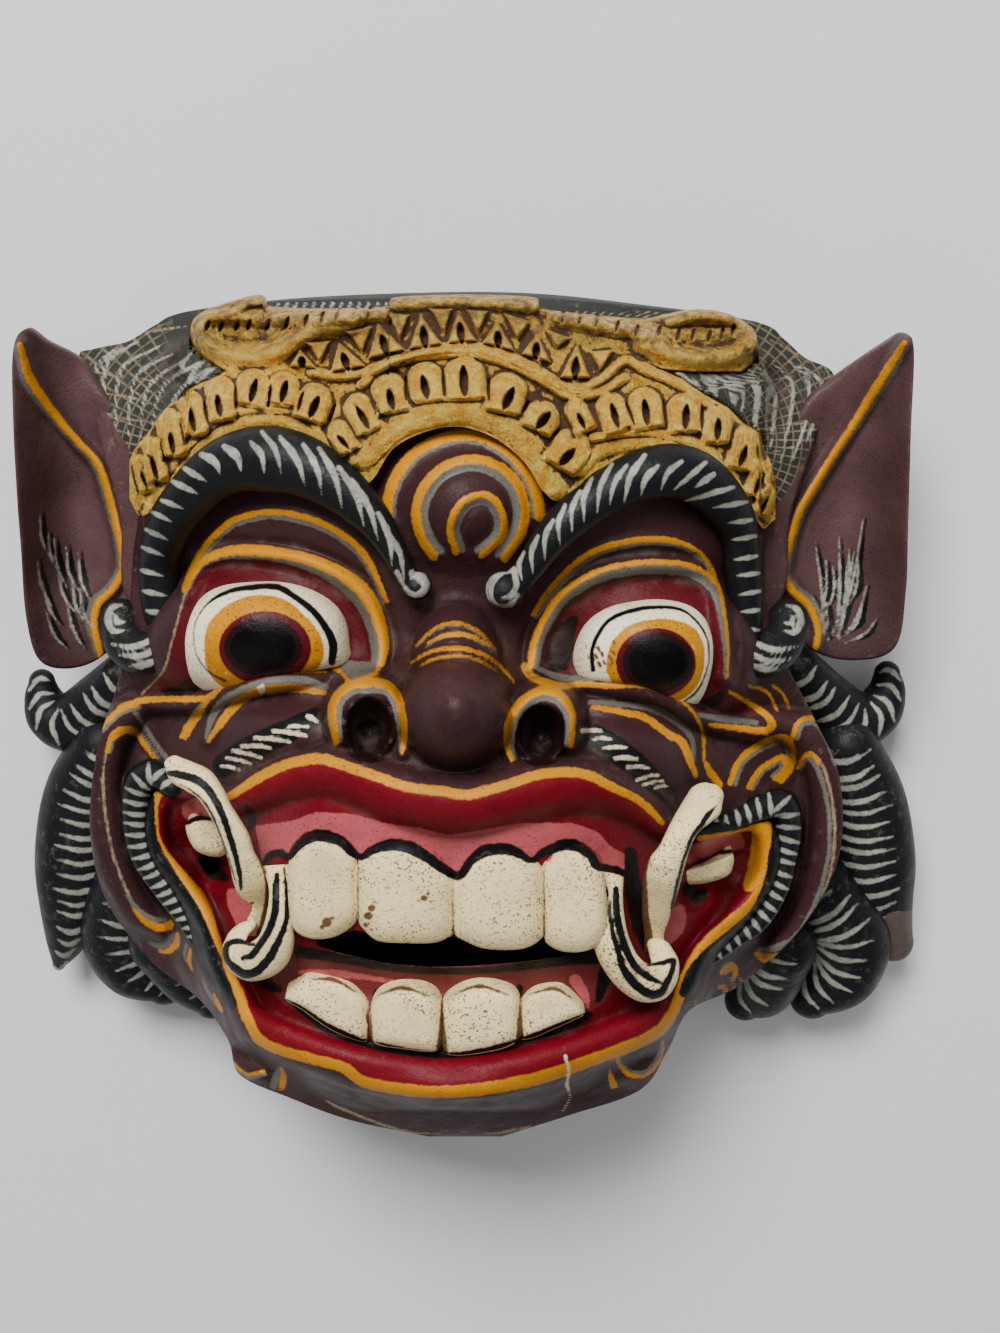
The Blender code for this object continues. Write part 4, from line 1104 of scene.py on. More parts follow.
def paint_cheeks(paint):
    """Moustache patches, the lines of the cheek bands and small strokes on the jowls."""
    for path, half, dashes in MOUSTACHES.values():
        paint.stroke("black", path, half)
        for x0, y0, x1, y1, width in dashes:
            middle = ((x0 + x1) / 2, (y0 + y1) / 2 - 1)
            paint.stroke("cream", [(x0 + 1, y0), middle, (x1 - 1, y1)],
                         [0.55 * width, 0.62 * width, 0.45 * width])
    for fringe in FRINGES.values():
        paint.stroke("black", fringe, [FRINGE_PX * p[3] + 2 for p in fringe])
    paint.trim([(107, 752), (112, 735), (124, 728), (136, 731)], 2.2, 1.8)
    paint.stroke("tan", [(106, 750), (103, 778), (105, 810), (112, 850), (122, 880), (130, 898)],
                 [1.0, 1.3, 1.4, 1.4, 1.4, 1.8])
    paint.stroke("grey", [(126, 894), (136, 908), (150, 919), (165, 920)], [1.2, 3.2, 3.8, 2])
    paint.stroke("yellow", [(131, 906), (142, 919), (156, 927), (168, 926), (173, 921)],
                 [1, 2.6, 4, 4.4, 2.6])
    paint.stroke("grey", [(149, 943), (160, 946), (168, 942), (173, 935)], [1.4, 3, 3.4, 2])
    paint.stroke("yellow", [(158, 951), (168, 951), (176, 944), (177, 934)], [1, 2.8, 3.6, 2])
    paint.stroke("grey", [(187, 943), (185, 952), (186, 962)], [1.2, 2, 1])
    paint.stroke("yellow", [(191, 948), (189, 960), (192, 970)], [1.4, 2, 1])
    paint.stroke("grey", [(203, 979), (208, 992), (216, 1004)], [1, 1.8, 1])
    paint.stroke("yellow", [(214, 994), (218, 1004), (222, 1011)], [1, 2, 1.2])
    paint.trim([(100, 728), (118, 711), (139, 703)], 2.6, 2)
    paint.stroke("grey", [(134, 712), (142, 722), (152, 738), (168, 760)], 2.2)
    paint.trim([(112, 738), (124, 732), (134, 731), (144, 744), (156, 760)], 2.2, 1.6, -1)
    paint.trim([(182, 737), (190, 722), (202, 709)], 2.4, 1.8)
    paint.stroke("tan", [(813, 753), (823, 766), (830, 790), (834, 815), (834, 850), (827, 885), (814, 917),
                         (799, 938)], 1.5)
    paint.stroke("grey", [(808, 757), (818, 770), (825, 792), (829, 815), (829, 850), (822, 885), (809, 917),
                          (795, 938), (775, 948), (757, 950)], [2, 2.6, 2.6, 2.2, 2.2, 2.2, 2.6, 3.4, 3.8,
                                                                1.6])
    paint.stroke("yellow", [(755, 953), (765, 958), (780, 957), (792, 948)], [2, 4.8, 4.4, 2])
    paint.trim([(798, 768), (804, 757), (812, 754), (820, 764)], 2.2, 1.6)
    paint.trim([(793, 737), (798, 723), (808, 718), (820, 722), (830, 738), (838, 762)],
               [2.6, 2.6, 2.4, 2, 1.4, 1], 2.4)
    paint.stroke("yellow", [(723, 972), (730, 966), (735, 970), (733, 982)], [3.6, 4.2, 3.2, 1.4])
    paint.stroke("grey", [(729, 978), (734, 986), (730, 993)], 1.8)
    paint.stroke("yellow", [(719, 988), (724, 986), (726, 991), (721, 1000)], [1.6, 2.4, 2, 1])
    paint.stroke("tan", [(738, 976), (745, 984), (757, 984)], 1.4)
    paint.stroke("yellow", [(679, 1029), (690, 1016), (697, 1001)], [1, 2, 1.4])
    paint.stroke("tan", [(682, 1028), (708, 1010), (722, 998)], 1.2)
    paint.trim([(225, 1036), (228, 1056), (246, 1074), (264, 1071)], 1.6, 2.2)
    paint.patch("grey", [(269, 1086), (274, 1073), (281, 1065), (280, 1078), (276, 1092)], smooth=False)
    paint.patch("yellow", [(281, 1065), (287, 1078), (285, 1089), (277, 1093), (280, 1078)], smooth=False)
    paint.patch("yellow", [(609, 1066), (614, 1078), (619, 1087), (611, 1089), (608, 1078)], smooth=False)
    paint.trim([(664, 1042), (660, 1060), (648, 1074), (633, 1076), (622, 1068), (617, 1060)],
               [1, 1.4, 1.6, 2.2, 2.6, 1.4], [1.4, 2, 2.2, 2, 1.4, 1])
    paint.stroke("tan", [(326, 1101), (350, 1112), (399, 1130), (440, 1135), (482, 1135), (532, 1127)], 1.2)
    paint.stroke("cream", [(565, 1056), (569, 1070), (567, 1084), (570, 1098), (562, 1112)],
                 [1.8, 1, 1.6, 1, 0.8])
    paint.patch("cream", [(256, 688), (263, 684), (266, 690), (261, 696)], smooth=False)


def make_face():
    """The face with its hollow and the gap between the teeth, painted."""
    left, right = (spline([p[:2] for p in side], 30) for side in (FACE_LEFT, FACE_RIGHT))
    y = np.linspace(*FACE_SPAN, FACE_ROWS)
    first = np.stack([np.interp(y, left[:, 1], left[:, 0]), y], -1)
    last = np.stack([np.interp(y, right[:, 1], right[:, 0]), y], -1)
    face = carved_sheet("face", first, last, face_height, FACE_COLUMNS, pull=PULL)
    finished(face, hollow(), mouth_slot())
    face.name = "face"
    paint = Paint(face)
    paint_eyes(paint)
    paint_nose(paint)
    for arch in BUMP_ARCHES:
        paint.trim(*arch)
    paint_cheeks(paint)
    paint_mouth(paint)
    layers = ("red", "lid", "dark", "gum", "pink", "painted_shade", "tan", "grey", "yellow", "black", "cream")
    paint.done(layers)
    dress(face, painted("maroon_paint", MAROON, layers, dust=0.35))
    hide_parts("mask")


def mouth_slot():
    """The gap between the rows of teeth, cut along the line of sight so that the ground shows through it."""
    outline = np.array(GAP_OUTLINE, float)
    return skin("mouth_slot", [place(outline[:, 0], outline[:, 1], z) for z in SLOT_HEIGHTS])


def wall_feet(outline, centre, height, around=360):
    """Where a relief's walls meet the rim plane, from the middle of the mask."""
    edge = even_edge(outline, around)
    rim = place(edge[:, 0], edge[:, 1], height(edge))
    return list(walls(rim, place(*centre, WALL_BASE), 0.0, PULL))[-1][:, :2] - MIDDLE


def hollow(around=88, rings=14):
    """The space behind the face. It follows the front at the wall's thickness, inside the flat rim."""
    face_feet = wall_feet(FACE_LEFT + FACE_RIGHT[::-1], FACE_CENTRE, face_form)
    feet = np.concatenate([face_feet, wall_feet(CAP_EDGE, CAP_CENTRE, cap_form)])
    turn = np.linspace(-math.pi, math.pi, around, endpoint=False)
    apart = np.abs((np.arctan2(feet[:, 1], feet[:, 0]) - turn[:, None] + math.pi) % (2 * math.pi) - math.pi)
    reach = np.where(apart < NEAR_TURN, np.hypot(*feet.T), 0).max(1) - RIM * UNIT
    ceiling = []
    for share in np.linspace(0, 1, rings + 1)[1:]:
        across = MIDDLE + (share * reach)[:, None] * np.stack([np.cos(turn), np.sin(turn)], -1)
        z = np.full(around, CEILING_GUESS)
        for _ in range(CEILING_ROUNDS):
            z = np.maximum(shell_form(seen(np.c_[across, z * UNIT])) - WALL, CEILING_LEAST)
        ceiling.append(np.c_[across, z * UNIT])
    floor = ceiling[-1].copy()
    floor[:, 2] = HOLLOW_FOOT * UNIT
    return skin("hollow", ceiling + [floor])


# Brows and eyes

# The brows as rods: across, down, height, half width
BROWS = {
    "left": [
        (168, 640, 84, 5.5), (161, 605, 83, 6.6), (159, 562, 84, 7.0), (168, 528, 91, 7.5),
        (186, 501, 97, 8.0), (213, 474, 102, 8.8), (241, 461, 107, 9.8), (271, 459, 110, 10.6),
        (301, 465, 113, 9.8), (331, 481, 117, 8.4), (358, 503, 120, 6.8), (380, 528, 122, 5.2),
        (396, 556, 122, 3.8), (408, 580, 121, 3.2), (417, 589, 121, 2.8),
    ],
    "right": [
        (743, 658, 86, 5.0), (745, 618, 87, 5.8), (743, 573, 88, 6.2), (739, 534, 91, 6.6),
        (728, 507, 97, 7.3), (705, 483, 104, 8.4), (681, 472, 108, 8.7), (656, 472, 111, 8.6),
        (626, 481, 114, 7.6), (597, 499, 117, 6.8), (568, 520, 120, 6.4), (546, 544, 122, 5.4),
        (526, 572, 122, 4.4), (507, 590, 121, 4.4),
    ],
}
BROW_ENDS = {"left": ((416, 586), 14), "right": ((505, 590), 18)}
BROW_CURLS = {
    "left": [
        ([(413, 573), (422, 577), (426, 586), (421, 594), (411, 594), (404, 586), (397, 572)],
         [4, 4.2, 3.8, 3, 2.2, 1.8, 2.6]),
        ([(413, 575), (412, 583)], [3.6, 1.6]),
    ],
    "right": [
        ([(517, 571), (508, 569), (497, 574), (490, 586), (491, 600), (500, 608), (511, 605), (518, 595)],
         [3, 4.2, 4.2, 3.8, 3.4, 3, 2.6, 1.8]),
        ([(515, 574), (516, 587), (511, 597), (503, 597)], [3, 2.6, 2.2, 1.2]),
    ],
}
# Heights of the eyeballs: their feet inside the head, their edge and how far the middle stands above it
BALL_FOOT, BALL_EDGE, BALL_RISE = 84, 96, 28
BALLS = {
    "left": ((266, 640), (100, 66), [(185, 642), (191, 615), (202, 598), (221, 587), (250, 584), (284, 583),
                                     (313, 591), (334, 606), (345, 625), (349, 645), (350, 661), (330, 668),
                                     (285, 674), (250, 682), (228, 694), (205, 692), (190, 676)]),
    "right": ((646, 656), (84, 66), [(573, 662), (577, 642), (588, 622), (607, 609), (630, 604), (662, 600),
                                     (690, 604), (704, 617), (712, 637), (713, 660), (708, 684), (699, 702),
                                     (688, 709), (668, 698), (640, 686), (606, 684), (580, 680)]),
}
# Brown spots on the right eyeball: the corner they start from, how far they spread and how many there are
EYE_STAIN, STAIN_SPREAD, STAIN_SPOTS = (586, 640), 28, 18
IRISES = {"left": ((265, 648), (46, 37)), "right": ((656, 663), (40, 35))}
PUPILS = {"left": ((263, 647), (33, 22.5)), "right": ((658, 662), (29.5, 22.7))}
# The yellow ring round each iris, and the black line on the white of the eye with half widths
IRIS_RINGS = {
    "left": [(209, 642), (213, 626), (227, 611), (245, 602), (266, 600), (286, 606), (304, 622), (315, 636),
             (319, 652), (313, 666), (292, 684), (262, 692), (230, 686), (212, 668)],
    "right": [(611, 670), (612, 657), (618, 642), (633, 629), (654, 624), (675, 625), (691, 632), (699, 647),
              (699, 667), (693, 683), (678, 696), (650, 702), (625, 694)],
}
EYE_LINES = {
    "left": ([(225, 681), (209, 672), (198, 658), (194, 641), (195, 624), (203, 609), (215, 598), (234, 590),
              (256, 587), (277, 587), (295, 597), (313, 611), (326, 628), (333, 644), (332, 662)],
             [1.4, 1, 0.8, 0.7, 0.8, 1, 1.8, 2.6, 3, 3.4, 3.2, 3.4, 3.8, 4.6, 3.8]),
    "right": ([(593, 670), (592, 651), (599, 633), (611, 619), (634, 610), (664, 607), (684, 611), (698, 623),
               (707, 639), (709, 659), (704, 678), (696, 692), (684, 702)],
              [2.4, 2.2, 2.2, 2.2, 2.4, 2, 1.6, 1.3, 1.1, 1, 1, 1.2, 1.2]),
}


def make_eyes():
    """Bulging eyeballs inside their lids, painted with a ringed iris."""
    layers = ("yellow", "lid", "dark", "stain", "black", "pupil")
    material = painted("eye_paint", EYE_WHITE, layers, 0.38, 0.1, 0.5, 0.7)
    for side in SIDES:
        centre, radii, outline = BALLS[side]

        def height(uv, share):
            bulge = np.sqrt(np.clip(1 - oval(uv, np.array(centre), radii), 0, 1))
            return BALL_EDGE + BALL_RISE * bulge - 3 * share**16

        ball = relief("eye_" + side, outline, centre, height, foot=BALL_FOOT, around=220, rings=72)
        paint = Paint(ball)
        ring = IRIS_RINGS[side]
        paint.stroke("yellow", ring + ring[:1], 5)
        paint.patch("yellow", ring)
        paint.patch("lid", round_outline(*IRISES[side]))
        (x, y), (rx, ry) = PUPILS[side]
        paint.patch("dark", round_outline((x, y), (rx + 6, ry + 7)))
        paint.patch("pupil", round_outline((x, y), (rx, ry)))
        paint.stroke("black", *EYE_LINES[side])
        if side == "right":
            for k in range(STAIN_SPOTS):
                x, y = EYE_STAIN[0] + STAIN_SPREAD * chance(k), EYE_STAIN[1] + STAIN_SPREAD * chance(k, 1)
                paint.stroke("stain", [(x, y), (x + 3 * chance(k, 2), y + 3)], 0.6 + 1.3 * chance(k, 3))
        paint.done(layers)
        dress(ball, material)


# Pale hairs on the brows: from, to and width
BROW_HAIRS = {
    "left": [
        (150, 632, 172, 628, 3), (147, 611, 172, 615, 3.2), (143, 591, 168, 596, 3.2),
        (141, 570, 163, 576, 3), (142, 547, 164, 556, 3), (145, 529, 168, 540, 3), (152, 512, 172, 522, 2.8),
        (161, 500, 183, 509, 3.2), (172, 481, 198, 494, 4), (184, 468, 207, 482, 4), (201, 454, 220, 474, 5),
        (224, 446, 241, 471, 5.4), (251, 442, 264, 473, 4), (262, 432, 281, 473, 3.6),
        (280, 437, 305, 486, 4.4), (303, 444, 322, 495, 4), (319, 448, 342, 508, 4),
        (339, 467, 364, 526, 4.2), (352, 480, 378, 540, 4.2), (378, 513, 392, 566, 4),
        (388, 532, 404, 580, 3.6),
    ],
    "right": [
        (757, 648, 742, 646, 2.6), (759, 630, 742, 629, 2.8), (759, 610, 740, 612, 2.8),
        (760, 591, 738, 595, 3), (759, 573, 736, 576, 3), (757, 556, 733, 560, 3), (756, 536, 731, 540, 3),
        (752, 520, 728, 523, 3.2), (747, 502, 712, 508, 3.2), (734, 487, 683, 502, 3.4),
        (714, 474, 694, 488, 4), (706, 462, 674, 490, 3.6), (682, 461, 661, 490, 3.6),
        (658, 466, 641, 496, 4), (645, 455, 624, 503, 4.2), (627, 465, 610, 505, 3.2),
        (612, 464, 597, 513, 3.4), (592, 478, 584, 522, 3.4), (580, 491, 572, 532, 3.4),
        (565, 505, 560, 545, 3.2), (553, 520, 545, 560, 3.4), (538, 536, 533, 574, 3.4),
        (524, 552, 522, 580, 3.2),
    ],
}


def make_brows():
    """Thick black brows with pale hairs across them and a curl at the inner end."""
    layers = ("white",)
    material = painted("brow_paint", BLACK, layers, 0.4, 0.2, 0.7)
    for side, turn in TURNS.items():
        path = BROWS[side]
        brow = rod("brow_" + side, path, around=56, steps=26)
        (x, y), reach = BROW_ENDS[side]
        size = reach / 3.1
        knob = rod("knob", [(x - 2, y, 120, size), (x, y, 121, size), (x + 2, y, 120, size)], 48, 10)
        brow = joined("brow_" + side, [brow, knob])
        paint = Paint(brow, front_only=False)
        for x0, y0, x1, y1, width in BROW_HAIRS[side]:
            bend = 4 if abs(y1 - y0) > abs(x1 - x0) else 0
            middle = ((x0 + x1) / 2 + turn * bend, (y0 + y1) / 2 - 0.6 * bend)
            paint.stroke("white", [(x0, y0), middle, (x1, y1)], [0.5 * width, 0.88 * width, 0.6 * width, 0.4])
        for curl, half in BROW_CURLS[side]:
            paint.stroke("white", curl, half)
        paint.done(layers)
        dress(brow, material)


# Crown and hair

CAP_CENTRE = (455, 450)
# The outline of the head behind the crown, and heights inside it
CAP_EDGE = [
    (79, 360, 28), (90, 350, 28), (126, 342, 36), (155, 325, 40), (182, 313, 44), (272, 303, 54),
    (387, 299, 62), (540, 299, 62), (662, 310, 54), (759, 323, 44), (784, 339, 38), (804, 357, 32),
    (835, 378, 28), (815, 440, 48), (790, 520, 56), (780, 600, 56), (700, 640, 56), (200, 640, 56),
    (128, 600, 56), (120, 520, 56), (97, 430, 48),
]
CAP_FORM = [(455, 400, 86), (200, 420, 70), (710, 420, 70), (455, 560, 86), (160, 520, 62), (760, 520, 62)]
cap_form = thin_plate(CAP_EDGE + CAP_FORM)
# The form that the hollow follows: the face below the brows, the head above them
shell_form = thin_plate([m for m in FACE_LEFT + FACE_RIGHT if m[1] > 450] + FACE_FORM[1:]
                        + [m for m in CAP_EDGE + CAP_FORM if m[1] < 430])
# The crown's left and right end in the picture, and the points of its mesh across and down
CROWN_SPAN = (129.5, 775.5)
CROWN_COLUMNS, CROWN_ROWS = 500, 160
# The crown's upper and lower edge, and heights between them: across, down, height
CROWN_TOP = [
    (129, 462, 67), (135, 449, 68), (150, 430, 71), (166, 408, 73), (184, 392, 75), (190, 330, 62),
    (200, 314, 60), (224, 305, 61), (250, 298, 62), (262, 299, 64), (270, 309, 70), (330, 311, 80),
    (386, 309, 84), (394, 300, 86), (460, 297, 87), (534, 300, 86), (542, 311, 84), (600, 318, 80),
    (645, 321, 74), (670, 316, 66), (698, 312, 64), (726, 315, 62), (749, 326, 62), (758, 345, 64),
    (762, 440, 70), (770, 460, 69), (776, 485, 67),
]
CROWN_BOTTOM = [
    (129, 498, 66), (140, 516, 68), (155, 508, 76), (170, 488, 84), (204, 452, 96), (237, 438, 103),
    (271, 431, 107), (304, 439, 110), (338, 460, 113), (362, 482, 117), (374, 478, 119), (394, 448, 119),
    (428, 431, 119), (462, 427, 119), (496, 439, 119), (524, 462, 119), (544, 492, 119), (562, 500, 117),
    (598, 470, 113), (640, 456, 109), (688, 453, 104), (714, 464, 98), (735, 484, 90), (750, 505, 82),
    (762, 528, 74), (774, 520, 68),
]
CROWN_FORM = [
    (460, 380, 112), (410, 400, 111), (520, 400, 111), (360, 430, 109), (560, 430, 109), (250, 395, 94),
    (320, 415, 103), (680, 410, 96), (610, 415, 105), (460, 350, 103), (380, 352, 97), (560, 362, 98),
    (460, 325, 94), (340, 330, 85), (600, 335, 85), (240, 340, 69), (700, 345, 69),
]
crown_form = thin_plate(CROWN_TOP + CROWN_BOTTOM + CROWN_FORM)
# Petals of the crown: tip, upper and lower end of the slot, half width
PETALS = [
    ((139, 455), (140, 470), (148, 490), 8), ((151, 437), (151, 456), (158, 480), 10),
    ((168, 409), (170, 432), (174, 455), 13), ((189, 392), (190, 409), (195, 434), 13),
    ((219, 377), (217, 394), (221, 419), 14), ((256, 370), (257, 378), (250, 404), 15),
    ((286, 373), (287, 380), (281, 404), 15), ((319, 385), (319, 396), (309, 419), 16),
    ((352, 396), (356, 406), (370, 430), 14), ((333, 422), (337, 435), (350, 450), 11),
    ((385, 374), (388, 389), (394, 411), 16), ((423, 363), (422, 375), (428, 400), 16),
    ((464, 358), (463, 365), (465, 398), 19), ((511, 374), (514, 387), (503, 411), 18),
    ((549, 403), (551, 412), (536, 429), 17), ((581, 433), (575, 449), (559, 466), 18),
    ((571, 400), (577, 413), (586, 430), 11), ((606, 394), (611, 403), (619, 430), 14),
    ((642, 389), (644, 399), (648, 427), 16), ((684, 394), (687, 404), (685, 431), 16),
    ((717, 407), (719, 418), (717, 442), 15), ((749, 426), (747, 446), (739, 468), 14),
    ((768, 457), (765, 472), (754, 496), 12), ((772, 486), (768, 496), (760, 514), 9),
]
# Slots between the petals, leaves of the zigzag with their apex first, and the plain fields between them
GAPS = [
    ((406, 374), (406, 403)), ((443, 368), (445, 398)), ((489, 377), (489, 404)), ((626, 402), (635, 426)),
    ((663, 398), (667, 430)), ((702, 405), (702, 432)), ((734, 427), (729, 452)), ((530, 400), (521, 414)),
    ((560, 428), (551, 438)), ((204, 400), (208, 424)), ((236, 386), (236, 412)), ((271, 384), (268, 408)),
    ((304, 390), (297, 414)), ((336, 402), (328, 424)), ((180, 418), (184, 440)), ((160, 440), (165, 464)),
]
LEAVES = [
    ((339, 343), (331, 372), (365, 366)), ((378, 324), (369, 358), (405, 350)),
    ((421, 315), (409, 349), (442, 344)), ((458, 311), (448, 343), (476, 341)),
    ((497, 322), (483, 343), (514, 351)), ((537, 334), (522, 354), (550, 362)),
    ((577, 345), (560, 378), (590, 378)), ((300, 350), (290, 366), (316, 368)),
]
FIELDS = [
    ((307, 343), (330, 341), (320, 362)), ((347, 332), (372, 326), (362, 352)),
    ((387, 313), (409, 315), (400, 340)), ((430, 309), (452, 309), (444, 334)),
    ((466, 310), (488, 311), (478, 334)), ((505, 314), (530, 322), (517, 340)),
    ((546, 330), (570, 338), (556, 348)), ((590, 352), (614, 350), (600, 370)),
]
# Smooth bands along the crown's lower edge: path, half width, height
RIM_BANDS = [
    ([(146, 512), (164, 478), (186, 448), (207, 428), (229, 415), (258, 409), (289, 411), (307, 418),
      (318, 426)], 5.5, 3.0),
    ([(150, 516), (176, 482), (204, 448), (241, 424), (276, 420), (307, 430), (331, 444), (352, 462)], 8,
     3.4),
    ([(593, 438), (624, 433), (658, 433), (688, 440), (710, 451), (732, 475), (747, 497), (756, 514)], 5.5,
     3.0),
    ([(580, 470), (600, 452), (634, 445), (670, 444), (699, 452), (724, 474), (742, 498), (756, 524)], 8,
     3.2),
]
DIADEM = [(363, 455), (378, 441), (399, 424), (428, 414), (462, 410), (494, 418), (520, 435), (540, 462),
          (554, 488)]
MOULDINGS = [
    [(312, 372), (340, 376), (371, 370), (400, 357), (430, 350), (458, 347), (484, 349), (511, 357),
     (541, 372), (560, 384), (580, 388), (602, 379), (624, 361), (645, 370), (678, 384), (710, 405)],
    [(362, 384), (384, 367), (410, 358), (450, 353), (484, 356), (514, 366), (545, 382), (570, 396),
     (600, 392), (624, 378)],
]
# The ribbons at both ends: the lower lip, the upper edge, and the dimples along it
RIBBONS = {
    "left": ([(204, 338), (220, 350), (250, 355), (276, 350), (298, 338), (322, 328), (352, 322)],
             [(198, 326), (214, 316), (250, 318), (300, 319), (340, 316), (384, 314)],
             [(207, 327), (221, 327), (237, 326), (249, 325), (268, 325), (287, 323), (306, 321), (322, 318),
              (337, 316), (354, 314), (369, 313)]),
    "right": ([(644, 342), (668, 352), (700, 357), (730, 355), (750, 344)],
              [(556, 318), (600, 326), (640, 332), (680, 336), (716, 337), (742, 330), (728, 319), (697, 316),
               (672, 321)],
              [(563, 318), (580, 320), (597, 322), (617, 327), (637, 331), (659, 332), (678, 335), (693, 335),
               (709, 337), (722, 334), (733, 330)]),
}

# Hair that shows between the ribbons and the petals. There the crown drops by this much, and the hair rises
# from HAIR_DROP below the crown's form by HAIR_LIFT
CROWN_DROP = 9
HAIR_DROP, HAIR_LIFT = 30, 28
BESIDE_RIBBONS = [
    [(180, 340), (190, 338), (197, 350), (207, 358), (219, 366), (228, 371), (213, 380), (202, 384),
     (190, 390), (180, 396)],
    [(645, 361), (660, 368), (692, 371), (741, 371), (757, 358), (766, 352), (768, 446), (759, 436),
     (741, 423), (727, 408), (704, 396), (683, 381), (658, 369)],
]
CROWN_HAIRS = [
    [(206, 360), (196, 368), (186, 384)], [(216, 367), (206, 374), (196, 386)],
    [(192, 352), (184, 362), (180, 372)], [(676, 372), (683, 376), (690, 386)],
    [(698, 373), (710, 386), (716, 398)], [(714, 373), (728, 386), (732, 402)],
    [(732, 373), (742, 388), (742, 414)], [(748, 368), (758, 388), (757, 424)],
    [(762, 360), (768, 386), (766, 430)],
]


# A petal's half width over the one listed, the same for its slot, and in pixels the slopes at a slot's and a
# leaf's edge
PETAL_SPREAD = 1.16
SLOT_SHARE = 0.26
SLOT_SLOPE = 1.6
LEAF_SLOPE = 2.6


def within(uv, corners, soft=3.0):
    """How far places lie inside an outline, from 0 outside it to 1 where they are this deep."""
    edge = np.r_[corners, corners[:1]]
    gap, _ = nearest(uv, edge)
    return np.where(inside_of(uv, edge), np.clip(gap / soft, 0, 1), 0.0)


def petal(h, uv, tip, top, bottom, half, rise=6.5):
    """A round-ended leaf with a pointed slot down its middle."""
    tip, top, bottom = (np.array(p, float) for p in (tip, top, bottom))
    foot = bottom + 0.02 * (bottom - tip)
    run = tip - foot
    length = math.hypot(*run)
    half = PETAL_SPREAD * half
    near = close_to(uv, np.minimum(foot, tip), np.maximum(foot, tip), half + 4)
    way = uv[near] - foot
    along = way @ run / length
    aside = np.abs(way @ np.array([-run[1], run[0]])) / length
    over = np.maximum(along - (length - 0.9 * half), 0)
    r = np.hypot(aside, over) / half
    h[near] += rise * np.clip(1 - r**5, 0, 1) * np.clip(along / 5 + 0.6, 0, 1)
    cut(h, uv, top, bottom, SLOT_SHARE * half, rise + 1.0)


def cut(h, uv, start, end, half, depth):
    """A slot that is pointed at both ends and has steep sides."""
    start, end = np.array(start, float), np.array(end, float)
    near = close_to(uv, np.minimum(start, end), np.maximum(start, end), half + 2)
    run = end - start
    length = math.hypot(*run)
    way = uv[near] - start
    along = way @ run / length**2
    aside = np.abs(way @ np.array([-run[1], run[0]])) / length
    width = half * np.sin(math.pi * np.clip(along, 0, 1)) ** 0.6
    h[near] -= depth * np.clip((width - aside) / SLOT_SLOPE, 0, 1)


def leaf(h, uv, points, rise):
    """A raised triangle with round edges."""
    corners = np.array(points, float)
    near = close_to(uv, corners.min(0), corners.max(0), 4)
    inside = np.full(len(near), 1e9)
    middle = corners.mean(0)
    for a, b in zip(corners, np.roll(corners, -1, axis=0)):
        normal = np.array([b[1] - a[1], a[0] - b[0]]) / math.dist(a, b)
        normal *= np.sign((middle - a) @ normal)
        inside = np.minimum(inside, (uv[near] - a) @ normal)
    h[near] += rise * np.clip(inside / LEAF_SLOPE + 0.3, 0, 1)


def crown_height(uv):
    """Smooth bands, rows of slotted petals, a zigzag of leaves and a ribbon at each side."""
    h = crown_form(uv)
    for path, half, rise in RIM_BANDS:
        ridge(h, uv, path, half, rise, 1.2)
    ridge(h, uv, DIADEM, 15, 5.0, 0.8)
    for points in PETALS:
        petal(h, uv, *points)
    for start, end in GAPS:
        cut(h, uv, start, end, 2.6, 5.0)
    for path in MOULDINGS:
        ridge(h, uv, path, 6, 4.2, 1.2)
    for apex, left, right in LEAVES:
        leaf(h, uv, (apex, left, right), 6.5)
        foot = (np.array(left) + right) / 2
        cut(h, uv, 0.35 * foot + 0.65 * np.array(apex), 1.1 * foot - 0.1 * np.array(apex), 5.0, 7.0)
    for points in FIELDS:
        leaf(h, uv, points, 5.5)
    ridge(h, uv, [(394, 306), (430, 303), (460, 302), (500, 304), (534, 307)], 9, 4.0)
    for lip, top, dimples in RIBBONS.values():
        ridge(h, uv, lip, 16, 9.0)
        ridge(h, uv, top, 11, 6.0)
        for x, y in dimples:
            cut(h, uv, (x + 2, y - 7), (x - 2, y + 6), 3.0, 4.0)
    ridge(h, uv, [(234, 311), (248, 304), (264, 302)], 6, 4.0)
    for outline in BESIDE_RIBBONS:
        corners = np.array(outline, float)
        near = close_to(uv, corners.min(0), corners.max(0), 2)
        h[near] -= CROWN_DROP * within(uv[near], corners)
    return h


# Above this line the gold is worn more
WORN_ABOVE = [(190, 362), (300, 352), (372, 352), (455, 340), (560, 352), (640, 352), (700, 368), (760, 368)]


def make_crown():
    """The gilded crown."""
    x = np.linspace(*CROWN_SPAN, CROWN_COLUMNS)
    top, bottom = (spline([p[:2] for p in side], 16) for side in (CROWN_TOP, CROWN_BOTTOM))
    first = np.stack([x, np.interp(x, top[:, 0], top[:, 1])], -1)
    last = np.stack([x, np.interp(x, bottom[:, 0], bottom[:, 1])], -1)
    crown = carved_sheet("crown", first, last, crown_height, CROWN_ROWS, thickness=CROWN_EDGE)
    paint = Paint(crown)
    uv = paint.uv
    arch = np.interp(uv[:, 0], *np.transpose(WORN_ABOVE))
    paint.keep("upper", np.clip((arch - uv[:, 1]) / 18 + 0.3, 0, 1))
    dress(crown, gilded("gold_leaf"))


